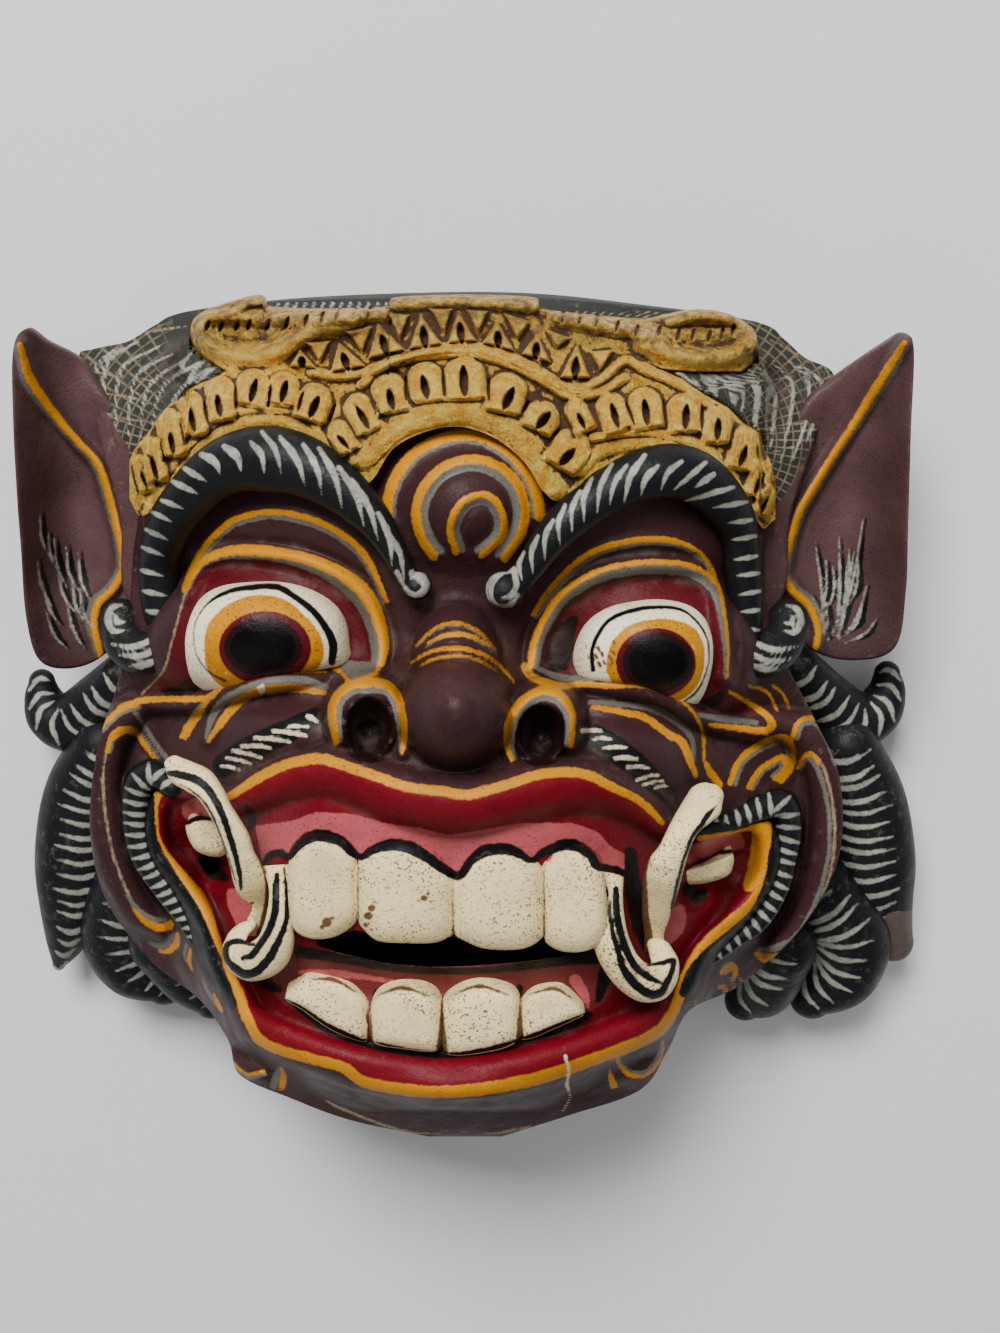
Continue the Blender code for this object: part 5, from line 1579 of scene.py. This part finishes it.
# Combed hair and the ties across it
HAIR_LINES = [
    [(200, 362), (168, 382), (156, 404), (152, 432)], [(212, 366), (182, 388), (170, 410), (166, 430)],
    [(188, 358), (154, 380), (143, 404), (140, 440)], [(176, 352), (140, 372), (130, 400), (128, 446)],
    [(160, 346), (124, 366), (116, 396), (116, 440)], [(140, 340), (108, 362), (104, 396), (106, 430)],
    [(118, 348), (96, 366), (94, 392), (98, 412)], [(222, 372), (200, 388), (186, 402)],
    [(690, 376), (698, 386), (702, 396)], [(706, 372), (716, 386), (716, 402)],
    [(724, 372), (736, 388), (736, 408)], [(742, 374), (756, 392), (754, 422), (762, 446)],
    [(756, 368), (774, 388), (774, 420), (770, 452)], [(772, 362), (792, 384), (790, 420), (780, 462)],
    [(788, 360), (808, 382), (806, 420), (792, 460)], [(802, 366), (822, 384), (820, 410), (804, 446)],
]
HAIR_TIES = [
    [(90, 372), (120, 376), (160, 382)], [(96, 392), (126, 396), (150, 404)],
    [(100, 412), (124, 418), (150, 424)], [(132, 336), (160, 330), (190, 326)],
    [(700, 392), (740, 384), (800, 376)], [(730, 410), (770, 404), (812, 398)],
    [(764, 430), (790, 426), (812, 420)], [(772, 452), (790, 448), (800, 444)],
    [(770, 340), (790, 350), (812, 364)],
]
# Maroon paint where the ears grow out of the head, in the ears' lighter maroon, which is painted light
EAR_ROOTS = [
    [(76, 356), (85, 358), (96, 385), (107, 414), (129, 449), (136, 500), (200, 520), (200, 645), (80, 645),
     (66, 400)],
    [(836, 374), (827, 410), (811, 446), (798, 474), (780, 501), (764, 519), (700, 540), (700, 645),
     (850, 645), (852, 374)],
]
# The hair net: the middles that its halves spread from, pixels from strand to strand, ties over half a turn,
# and where it fades out towards the crown
NET_MIDDLES = ((230, 462), (700, 440))
STRAND_PX = 8.5
TIE_RATE = 11
NET_LEFT, NET_RIGHT, NET_FADE = 172, 735, 20
# Short strokes along the top of the head: colour, from, to, lower and upper end, half width
TOP_TICKS = [("white", 276, 386, 309, 303, 1.4), ("tan", 546, 660, 320, 312, 1.2)]
TICK_STEP = 9


def cap_height(uv, _):
    """The head behind the crown, with combed hair as shallow ridges."""
    h = cap_form(uv)
    for path in HAIR_LINES:
        ridge(h, uv, path, 6, 1.0)
    for outline in BESIDE_RIBBONS:
        corners = np.array(outline, float)
        near = close_to(uv, corners.min(0), corners.max(0), 2)
        raised = crown_form(uv[near]) - HAIR_DROP + HAIR_LIFT * within(uv[near], corners, 2.0)
        h[near] = np.maximum(h[near], raised)
    return h


def make_cap():
    """The dark hair behind the crown, with pale combed lines and a painted net."""
    cap = relief("hair", CAP_EDGE, CAP_CENTRE, cap_height, pull=PULL, around=440, rings=92)
    finished(cap, hollow())
    cap.name = "hair"
    paint = Paint(cap)
    for path in HAIR_LINES:
        paint.stroke("white", path, [0.8, 2.0, 1.8, 0.8])
    for path in HAIR_TIES:
        paint.stroke("tan", path, [0.6, 1.2, 0.6])
    for path in CROWN_HAIRS:
        paint.stroke("white", path, [0.8, 1.8, 2.0, 1.0])
    middle = np.where(paint.uv[:, :1] < CAP_CENTRE[0], *NET_MIDDLES)
    across, down = (paint.uv - middle).T
    paint.keep("strand", np.hypot(across, down) / STRAND_PX)
    paint.keep("tie", np.arctan2(down, np.abs(across)) * TIE_RATE)
    x = paint.uv[:, 0]
    paint.keep("net", np.clip((NET_LEFT - x) / NET_FADE, 0, 1) + np.clip((x - NET_RIGHT) / NET_FADE, 0, 1))
    for outline in EAR_ROOTS:
        paint.patch("maroon", outline, smooth=False)
    for colour, first, last, low, high, half in TOP_TICKS:
        for x in range(first, last, TICK_STEP):
            paint.stroke(colour, [(x, low), (x + 3, high)], half)
    layers = ("tan", "white", "maroon")
    paint.done(layers)
    dress(cap, painted("hair_paint", CAP_GREEN, layers, 0.6, 0.5, 0.8, net=True))


# Ears, locks and curls

# The outlines of the ears and heights in their bowls: across, down, height
EARS = {
    "left": [
        (26, 329, 66), (13, 350, 68), (13, 421, 70), (17, 499, 70), (21, 551, 68), (26, 617, 62),
        (40, 661, 52), (75, 668, 44), (110, 650, 46), (150, 600, 50), (155, 520, 52), (145, 450, 50),
        (105, 395, 48), (81, 361, 46), (47, 342, 56),
    ],
    "right": [
        (905, 334, 66), (914, 350, 68), (911, 433, 70), (908, 535, 70), (906, 590, 66), (896, 646, 56),
        (860, 660, 46), (812, 650, 46), (768, 600, 50), (765, 540, 52), (775, 470, 50), (805, 405, 48),
        (835, 378, 46), (886, 343, 56),
    ],
}
EAR_BOWLS = {
    "left": [(50, 420, 50), (55, 500, 44), (60, 580, 44)],
    "right": [(880, 420, 50), (870, 500, 44), (860, 580, 44)],
}
EAR_LINES = {
    "left": [(20, 345), (29, 376), (44, 400), (60, 421), (78, 442), (97, 463), (107, 489), (115, 520),
             (122, 551), (122, 572), (111, 591), (98, 604), (94, 625), (101, 656)],
    "right": [(904, 343), (886, 372), (871, 396), (853, 425), (831, 459), (812, 490), (798, 515), (788, 551),
              (784, 574), (793, 591), (809, 606), (818, 627), (816, 648)],
}
EAR_HAIRS = {
    "left": [(40, 514, 49, 556), (37, 560, 52, 606), (54, 538, 67, 588), (66, 547, 78, 590),
             (78, 552, 90, 600), (46, 612, 68, 650), (66, 598, 85, 650), (42, 580, 62, 628),
             (80, 590, 93, 628), (57, 568, 75, 612), (48, 534, 60, 572), (72, 576, 84, 622)],
    "right": [(823, 640, 815, 542), (826, 640, 822, 586), (834, 637, 839, 537), (832, 634, 854, 551),
              (836, 637, 863, 519), (843, 637, 867, 585), (845, 643, 878, 617), (829, 644, 811, 594),
              (838, 640, 846, 566), (848, 634, 862, 600), (820, 612, 826, 560), (829, 606, 833, 566),
              (841, 612, 849, 548), (850, 604, 858, 556)],
}
# Side locks as rods: across, down, height, half width. Those of the temple curls are the same
LOCKS = {
    "left": [
        [(124, 676, 36, 9), (98, 700, 30, 10), (72, 722, 26, 11), (52, 716, 24, 9.5), (44, 698, 22, 7.5),
         (42, 682, 22, 5)],
        [(104, 745, 32, 12), (84, 795, 28, 15), (77, 855, 26, 16), (73, 905, 24, 13), (66, 940, 22, 8),
         (59, 964, 20, 2.5)],
        [(135, 870, 38, 14), (122, 925, 30, 16), (134, 962, 26, 14), (165, 982, 24, 9)],
        [(165, 940, 46, 14), (192, 976, 40, 12), (212, 998, 38, 8)],
    ],
    "right": [
        [(796, 668, 36, 9), (825, 697, 30, 10), (853, 719, 26, 11), (876, 712, 24, 9.5), (886, 692, 22, 7.5),
         (887, 674, 22, 5)],
        [(846, 745, 32, 12), (866, 800, 28, 15), (871, 860, 26, 17), (880, 905, 24, 13), (893, 941, 22, 8)],
        [(815, 885, 38, 14), (848, 930, 30, 16), (842, 972, 26, 14), (812, 996, 24, 9)],
        [(780, 945, 46, 14), (765, 985, 36, 12), (745, 1000, 32, 8)],
    ],
}
BROKEN_END = [(884, 918), (900, 912), (917, 914), (915, 945), (905, 960), (880, 960)]
# Pixels in the picture for a drawing unit at the height of the locks and of the fringes
LOCK_PX, FRINGE_PX = 2.62, 2.96
TEMPLE_CURLS = {
    "left": [(121, 619, 76, 7.2), (127, 641, 80, 8), (144, 652, 85, 8), (162, 646, 88, 6.4),
             (171, 632, 88, 4)],
    "right": [(788, 620, 76, 7.2), (779, 644, 82, 8), (762, 655, 87, 8), (748, 652, 90, 6.4),
              (741, 640, 90, 4)],
}
# The spiral on a curl's end, from its middle, as drawn for the left side
CURL_SPIRALS = [
    ([(3, -15), (-9, -11), (-13, 1), (-7, 12), (4, 11)], [1, 3, 3.6, 3, 1]),
    ([(-4, -5), (-4, 3), (3, 3)], [1.5, 2.8, 1.5]),
]
CURL_HAIRS = {
    "left": [[(112, 644), (132, 647), (150, 640), (166, 627)], [(119, 655), (141, 656), (163, 644)],
             [(130, 666), (146, 665), (162, 656)]],
    "right": [[(798, 646), (778, 650), (760, 645), (745, 634)], [(791, 659), (768, 661), (747, 650)],
              [(779, 669), (762, 669), (748, 662)]],
}


def make_ears():
    """Leaf-shaped ears with a yellow fold and tufts of hair."""
    layers = ("black", "grey", "yellow", "white")
    material = painted("ear_paint", EAR_MAROON_LIT, layers, 0.42, 0.3)
    for side, turn in TURNS.items():
        form = thin_plate(EARS[side] + EAR_BOWLS[side])

        def height(uv):
            h = form(uv)
            ridge(h, uv, EAR_LINES[side], 12, 5)
            return h

        ear = plate("ear_" + side, EARS[side], height, EAR_THICKNESS)
        paint = Paint(ear)
        paint.trim(EAR_LINES[side], [3, 4.6, 4.6, 4, 3.6, 4, 4, 3.6, 3.4, 3.6, 4, 4, 4, 3],
                   [2, 2.6, 2.2, 1.8, 1.6, 1.6, 1.6, 1.6, 1.6, 2, 2.4, 2.6, 2.4, 1.5], turn)
        for x0, y0, x1, y1 in EAR_HAIRS[side]:
            middle = ((x0 + x1) / 2 - 3 * turn, (y0 + y1) / 2 + 4)
            paint.stroke("black", [(x0 + 4, y0 - 2), (middle[0] + 4, middle[1]), (x1 + 3, y1)],
                         [0.6, 3.6, 0.6])
            paint.stroke("white", [(x0, y0), middle, (x1, y1)], [0.4, 1.5, 0.4])
        paint.done(layers)
        dress(ear, material)


def make_locks():
    """Curled black locks below the ears, with pale hairs across them."""
    layers = ("white", "broken")
    material = painted("lock_paint", BLACK, layers, 0.42, 0.3, 0.8)
    for side, turn in TURNS.items():
        for k, path in enumerate(LOCKS[side]):
            lock = rod(f"lock_{side}_{k + 1}", path, around=44, steps=26)
            paint = Paint(lock, front_only=False)
            line = [p[:2] for p in path]
            width = [LOCK_PX * p[3] for p in path]
            length = sum(math.dist(a, b) for a, b in zip(line[:-1], line[1:]))
            paint.combed("white", line, width, int(length / 13), ([-0.95 * turn], [0.7 * turn]),
                         [1.0, 3.2, 2.8, 0.8], 8, 6, 0.3)
            if side == "right" and k == 1:
                paint.patch("broken", BROKEN_END)
            paint.done(layers)
            dress(lock, material)
        curl = rod("temple_curl_" + side, TEMPLE_CURLS[side], around=32, steps=16)
        paint = Paint(curl, front_only=False)
        x, y = TEMPLE_CURLS[side][0][:2]
        for spiral, half in CURL_SPIRALS:
            paint.stroke("white", [(x + turn * across, y + down) for across, down in spiral], half)
        for path in CURL_HAIRS[side]:
            paint.stroke("white", path, [1.2, 3.2, 2.8, 1.2])
        paint.done(layers)
        dress(curl, material)


def make_fringes():
    """Black bands round the cheeks with short pale hairs."""
    layers = ("white",)
    material = painted("fringe_paint", BLACK, layers, 0.42, 0.2, 0.7)
    for side, turn in TURNS.items():
        path = FRINGES[side]
        fringe = rod("fringe_" + side, path, around=32, steps=34)
        paint = Paint(fringe, front_only=False)
        line = [p[:2] for p in path]
        width = [FRINGE_PX * p[3] for p in path]
        low, high = (0.9, -0.85) if turn > 0 else (-0.9, 0.85)
        paint.combed("white", line, width, 27, ([low], [high]), [1.2, 2.6, 2.8, 1.0], turn * 3, 1.0)
        paint.done(layers)
        dress(fringe, material)


# Teeth

# The outline of each tooth and how high it stands
UPPER_TEETH = [
    ([(289, 862), (296, 846), (312, 838), (330, 835), (346, 840), (357, 852), (360, 868), (360, 900),
      (358, 918), (350, 928), (334, 937), (315, 939), (299, 934), (291, 922), (288, 895)], 149),
    ([(357, 868), (362, 854), (380, 844), (405, 840), (428, 848), (446, 864), (455, 882), (455, 905),
      (455, 930), (447, 938), (432, 943), (400, 943), (378, 941), (365, 931), (357, 918), (356, 895)], 153),
    ([(452, 884), (459, 868), (474, 855), (495, 849), (516, 851), (534, 861), (544, 875), (546, 905),
      (545, 930), (540, 940), (526, 948), (505, 950), (482, 948), (465, 941), (455, 934), (451, 910)], 153),
    ([(541, 870), (549, 858), (565, 849), (582, 849), (595, 858), (604, 874), (607, 905), (607, 930),
      (600, 943), (586, 951), (566, 952), (550, 946), (543, 935), (541, 905)], 150),
]
LOWER_TEETH = [
    ([(285, 998), (298, 984), (312, 976), (345, 981), (362, 993), (371, 1007), (371, 1030), (366, 1042),
      (346, 1037), (326, 1027), (302, 1010)], 138),
    ([(370, 1010), (379, 995), (399, 988), (425, 991), (440, 1003), (444, 1024), (441, 1046), (431, 1052),
      (402, 1049), (376, 1044), (370, 1030)], 143),
    ([(441, 1012), (452, 997), (474, 987), (497, 987), (516, 995), (522, 1012), (521, 1036), (508, 1047),
      (484, 1053), (454, 1056), (443, 1048)], 143),
    ([(519, 1006), (531, 991), (546, 986), (562, 987), (576, 999), (585, 1013), (572, 1021), (552, 1030),
      (530, 1039), (519, 1036)], 139),
]
MOLARS = [
    ([(186, 824), (200, 818), (216, 820), (226, 832), (228, 850), (218, 857), (200, 853), (190, 842)], 104),
    ([(678, 872), (700, 865), (722, 857), (733, 855), (733, 866), (727, 876), (706, 883), (686, 884),
      (677, 879)], 106),
]
# The teeth with the height of their feet inside the jaws
TEETH = {"upper_teeth": (UPPER_TEETH, 132), "lower_teeth": (LOWER_TEETH, 122), "molars": (MOLARS, 84)}
FANG_DEPTH, TUSK_DEPTH = 9, 8
MOLAR_LINES = [[(187, 823), (198, 818), (214, 818), (222, 822)], [(680, 868), (700, 861), (716, 853),
                                                                  (733, 851)]]
LOWER_TEETH_DIRT = [
    [(310, 979), (334, 980), (356, 992)], [(376, 996), (402, 988), (430, 996)],
    [(450, 996), (478, 986), (508, 995)], [(530, 994), (554, 989), (572, 998)],
]
# Dirt between the teeth: across, top, bottom and half width
UPPER_SEAMS = [(358, 858, 926, 1.4), (453, 880, 936, 1.4), (544, 862, 940, 1.4)]
LOWER_SEAMS = [(370, 1000, 1040, 3.4), (442, 1000, 1050, 6), (520, 996, 1036, 4)]
# Brown spots: across, down and half width
STAINS = [(327, 922, 4.6), (332, 918, 2), (322, 927, 2), (368, 916, 4), (372, 908, 3.4), (366, 925, 2.4),
          (374, 902, 1.6), (424, 898, 3.2), (428, 894, 1.6), (419, 901, 1.4), (431, 902, 1.2),
          (372, 930, 1.6)]
# Fangs and tusks: their two edges in the picture, and the heights of their crest along the way
FANGS = {
    "left": (
        [(262, 866), (268, 884), (269, 897), (267, 912), (263, 927), (258, 937), (251, 942), (247, 942),
         (247, 938), (250, 934), (255, 930)],
        [(290, 864), (290, 884), (290, 905), (293, 925), (294, 945), (287, 964), (271, 977), (248, 981),
         (229, 970), (222, 950), (228, 934)],
        [138, 146, 149, 149, 147, 145, 142, 139, 136, 134, 133],
    ),
    "right": (
        [(598, 870), (597, 895), (595, 915), (592, 937), (596, 954), (605, 972), (620, 990), (641, 1002),
         (664, 999), (677, 982), (679, 962), (672, 948)],
        [(624, 876), (623, 892), (624, 913), (628, 934), (635, 951), (641, 959), (646, 963), (649, 964),
         (651, 962), (650, 958), (649, 954), (648, 949)],
        [138, 146, 149, 149, 148, 146, 142, 139, 136, 134, 133],
    ),
}
FANG_LINES = {
    "left": [
        ([(277, 875), (276, 890), (275, 912), (269, 930), (261, 943), (252, 955), (243, 958)],
         [3, 3.8, 4, 4, 3.8, 3.8, 2.6]),
        ([(284, 868), (286, 886), (287, 904), (286, 921), (280, 938), (270, 957), (257, 971), (245, 974),
          (236, 969), (227, 959), (226, 948), (232, 942), (242, 942), (254, 945)],
         [1, 1.8, 2.6, 2.8, 3.6, 4.6, 4.8, 4.8, 4.2, 3.6, 3.6, 3.2, 2.8, 2]),
    ],
    "right": [
        ([(616, 889), (616, 904), (619, 925), (626, 949), (635, 966), (647, 976), (659, 982)],
         [3.2, 4, 4, 4, 4, 3.8, 2]),
        ([(605, 882), (609, 904), (612, 930), (619, 954), (624, 970), (636, 985), (650, 994), (661, 992),
          (668, 980), (674, 961), (662, 963), (648, 965)], [1, 2, 2.6, 3.4, 4.2, 4.8, 4.8, 4.4, 3.6, 2.6, 2.4,
                                                            1.6]),
    ],
}
TUSKS = {
    "left": (
        [(241, 936), (247, 920), (252, 906), (240, 896), (234, 884), (230, 867), (224, 848), (216, 828),
         (207, 811), (197, 798), (186, 791), (174, 784), (167, 775), (166, 768)],
        [(266, 936), (270, 918), (271, 903), (271, 890), (268, 876), (262, 864), (254, 850), (249, 834),
         (241, 820), (231, 804), (224, 789), (211, 771), (193, 762), (180, 757)],
        [122, 126, 131, 136, 140, 143, 145, 146, 145, 143, 139, 135, 132],
    ),
    "right": (
        [(644, 952), (644, 935), (642, 915), (642, 895), (643, 880), (646, 867), (651, 856), (659, 846),
         (665, 834), (672, 820), (680, 806), (688, 793)],
        [(668, 952), (664, 936), (668, 922), (673, 908), (677, 895), (681, 880), (685, 865), (690, 849),
         (698, 833), (710, 823), (720, 814), (723, 800)],
        [122, 127, 132, 137, 142, 145, 146, 145, 142, 137, 132],
    ),
}
TUSK_LINES = {
    "left": [
        ([(169, 773), (176, 774), (185, 776), (197, 780), (207, 788), (215, 800), (223, 816), (230, 837),
          (236, 857), (240, 876), (241, 890)], [3, 4, 4.4, 4.2, 4.2, 4, 3.8, 3.4, 3, 2.6, 1.4]),
        # A thin black line along the tusk's left edge: a painted shadow
        ([(180, 784), (195, 793), (207, 806), (217, 826), (225, 848), (231, 866), (236, 884)],
         [0.6, 1, 1.2, 1.2, 1.2, 1, 0.6]),
        ([(235, 892), (240, 901), (247, 905), (253, 903)], [2, 3, 2.8, 1]),
    ],
    "right": [
        ([(716, 806), (708, 815), (702, 824), (693, 836), (685, 856), (680, 873), (676, 889), (673, 904),
          (671, 917)],
         [1, 3, 2.8, 2.2, 1.8, 1.8, 2, 2, 1.2]),
    ],
}


def horn(name, left, right, crests, depth, around=52, steps=12, square=2.5):
    """A tooth between two edges in the picture, with a rounded front and a round tip."""
    a, b = spline(left, steps), spline(right, steps)
    crest = spread(crests, np.linspace(0, 1, len(a)))
    start, end = place(a[:, 0], a[:, 1], crest - depth), place(b[:, 0], b[:, 1], crest - depth)
    axis, side = (start + end) / 2, (end - start) / 2
    half = np.linalg.norm(side, axis=1)
    out = EYE * UNIT - axis
    out /= np.linalg.norm(out, axis=1)[:, None]
    turn = np.linspace(0, 2 * math.pi, around, endpoint=False)
    across = np.sign(np.cos(turn)) * np.abs(np.cos(turn)) ** (2 / square)
    away = np.sign(np.sin(turn)) * np.abs(np.sin(turn)) ** (2 / square)
    thick = np.minimum(depth * UNIT, 1.1 * half)
    rings = [axis[k] + across[:, None] * side[k] + away[:,
                                                        None] * thick[k] * out[k] for k in range(len(axis))]
    ahead = axis[-1] - axis[-3]
    ahead *= half[-1] / np.linalg.norm(ahead)
    for bend in np.radians(np.arange(12, 84, 12)):
        rings.append(axis[-1] + math.sin(bend) * ahead
                     + math.cos(bend) * (across[:, None] * side[-1] + away[:, None] * thick[-1] * out[-1]))
    return skin(name, rings)


def make_teeth():
    """Big upper teeth with the gum painted over their roots, small lower ones, and curled fangs and tusks."""
    layers = ("dirt_and_shade", "stain", "pink", "black")
    material = painted("tooth_paint", CREAM, layers, 0.45, 0.6, 0.8, 0.95)
    for name, (teeth, foot) in TEETH.items():
        parts = []
        for outline, stands in teeth:
            centre = np.mean(outline, axis=0)

            def height(uv, share):
                return stands - 4.5 * share**6 - 1.2 * ((uv[:, 0] - centre[0]) / 40) ** 2

            parts.append(relief(name, outline, centre, height, foot=foot, around=120, rings=28))
        piece = joined(name, parts)
        paint = Paint(piece)
        if name == "upper_teeth":
            paint.patch("pink", [(250, 780), (640, 780)] + GUM_EDGE[::-1], smooth=False)
            paint.patch("pink", [(546, 856), (552, 853), (552, 859), (546, 862)])
            paint.stroke("black", GUM_EDGE, GUM_LINE, steps=4)
            for x, y, half in STAINS:
                paint.stroke("stain", [(x - 0.5, y), (x + 0.5, y)], half)
            for x, top, low, half in UPPER_SEAMS:
                paint.stroke("dirt_and_shade", [(x, top), (x, (top + low) / 2), (x, low)], [0.4, 0.8, half])
        if name == "lower_teeth":
            paint.stroke("black", LOWER_TEETH_LINE, LOWER_TEETH_HALF)
            for x, top, low, half in LOWER_SEAMS:
                paint.stroke("dirt_and_shade", [(x, top), (x, (top + low) / 2), (x, low)], [0.5, 0.5 * half, half])
            for path in LOWER_TEETH_DIRT:
                paint.stroke("dirt_and_shade", path, [0.6, 2.4, 0.6])
        if name == "molars":
            for path in MOLAR_LINES:
                paint.stroke("black", path, [2.4, 3, 3, 2])
        paint.done(layers)
        dress(piece, material)
    for side in SIDES:
        fang = horn("fang_" + side, *FANGS[side], FANG_DEPTH)
        paint = Paint(fang)
        for path, half in FANG_LINES[side]:
            paint.stroke("black", path, half)
        paint.stroke("black", GUM_EDGE, GUM_LINE, steps=4)
        paint.done(layers)
        dress(fang, material)
        tusk = horn("tusk_" + side, *TUSKS[side], TUSK_DEPTH)
        paint = Paint(tusk)
        for path, half in TUSK_LINES[side]:
            paint.stroke("black", path, half)
        # Painted shade: brown along the tusk's inner edge, widest at its foot by the fang
        inner = TUSKS[side][1 if side == "left" else 0]
        paint.stroke("dirt_and_shade", inner[:7], [10, 9, 7, 6, 4, 2, 0])
        paint.done(layers)
        dress(tusk, material)


# Stage

FLOOR_REACH = 6.0
FLOOR_PAINT = srgb(229, 229, 230)
# The lamps in metres: where each stands, its size and its power. All look at LIT_PLACE
LIT_PLACE = (0, 0, 0.08)
LAMPS = {
    "key": ((-0.6, 2.3, 2.45), 1.2, 180),
    "top": ((0.45, 0.6, 1.4), 1.2, 5.5),
    "fill": ((-0.6, -1.2, 1.5), 1.4, 5),
}
SKY, SKY_STRENGTH = (0.93, 0.95, 0.98, 1), 0.13


def make_stage():
    """A plain pale floor."""
    mesh = bpy.data.meshes.new("floor")
    corners = [(x * FLOOR_REACH, y * FLOOR_REACH, 0) for x, y in ((-1, -1), (1, -1), (1, 1), (-1, 1))]
    mesh.from_pydata(corners, [], [(0, 1, 2, 3)])
    floor = linked("floor", mesh)
    material = bpy.data.materials.new("floor")
    material.use_nodes = True
    shader = material.node_tree.nodes["Principled BSDF"]
    shader.inputs["Base Color"].default_value = FLOOR_PAINT
    shader.inputs["Roughness"].default_value = 0.85
    shader.inputs["Specular IOR Level"].default_value = 0.1
    mesh.materials.append(material)


def area_light(name, at, size, power):
    """A square lamp that looks at the mask."""
    light = bpy.data.lights.new(name, "AREA")
    light.size = size
    light.energy = power
    way = np.array(LIT_PLACE, float) - at
    back = -way / np.linalg.norm(way)
    side = np.cross((0.0, 1.0, 0.0), back)
    side /= np.linalg.norm(side)
    turned = np.c_[side, np.cross(back, side), back, at].tolist()
    linked(name, light).matrix_world = Matrix(turned + [[0, 0, 0, 1]])


def make_light():
    """Soft studio light from above the crown, with weaker ones near it and from the chin's side."""
    for name, lamp in LAMPS.items():
        area_light(name, *lamp)
    world = bpy.data.worlds.new("studio")
    world.use_nodes = True
    shader = world.node_tree.nodes["Background"]
    shader.inputs["Color"].default_value = SKY
    shader.inputs["Strength"].default_value = SKY_STRENGTH
    bpy.context.scene.world = world


def make_camera():
    """The camera stands where the picture was taken from."""
    lens = bpy.data.cameras.new("camera")
    lens.sensor_width = SENSOR_MM
    lens.lens = SENSOR_MM * FOCAL_PX / PICTURE_HEIGHT
    lens.clip_start = 0.01
    camera = linked("camera", lens)
    camera.matrix_world = Matrix([
        (1, 0, 0, EYE[0] * UNIT),
        (0, COS_TILT, SIN_TILT, EYE[1] * UNIT),
        (0, -SIN_TILT, COS_TILT, EYE[2] * UNIT),
        (0, 0, 0, 1),
    ])
    bpy.context.scene.camera = camera


make_face()
make_eyes()
make_brows()
make_crown()
make_cap()
make_ears()
make_locks()
make_fringes()
make_teeth()
make_stage()
make_light()
make_camera()
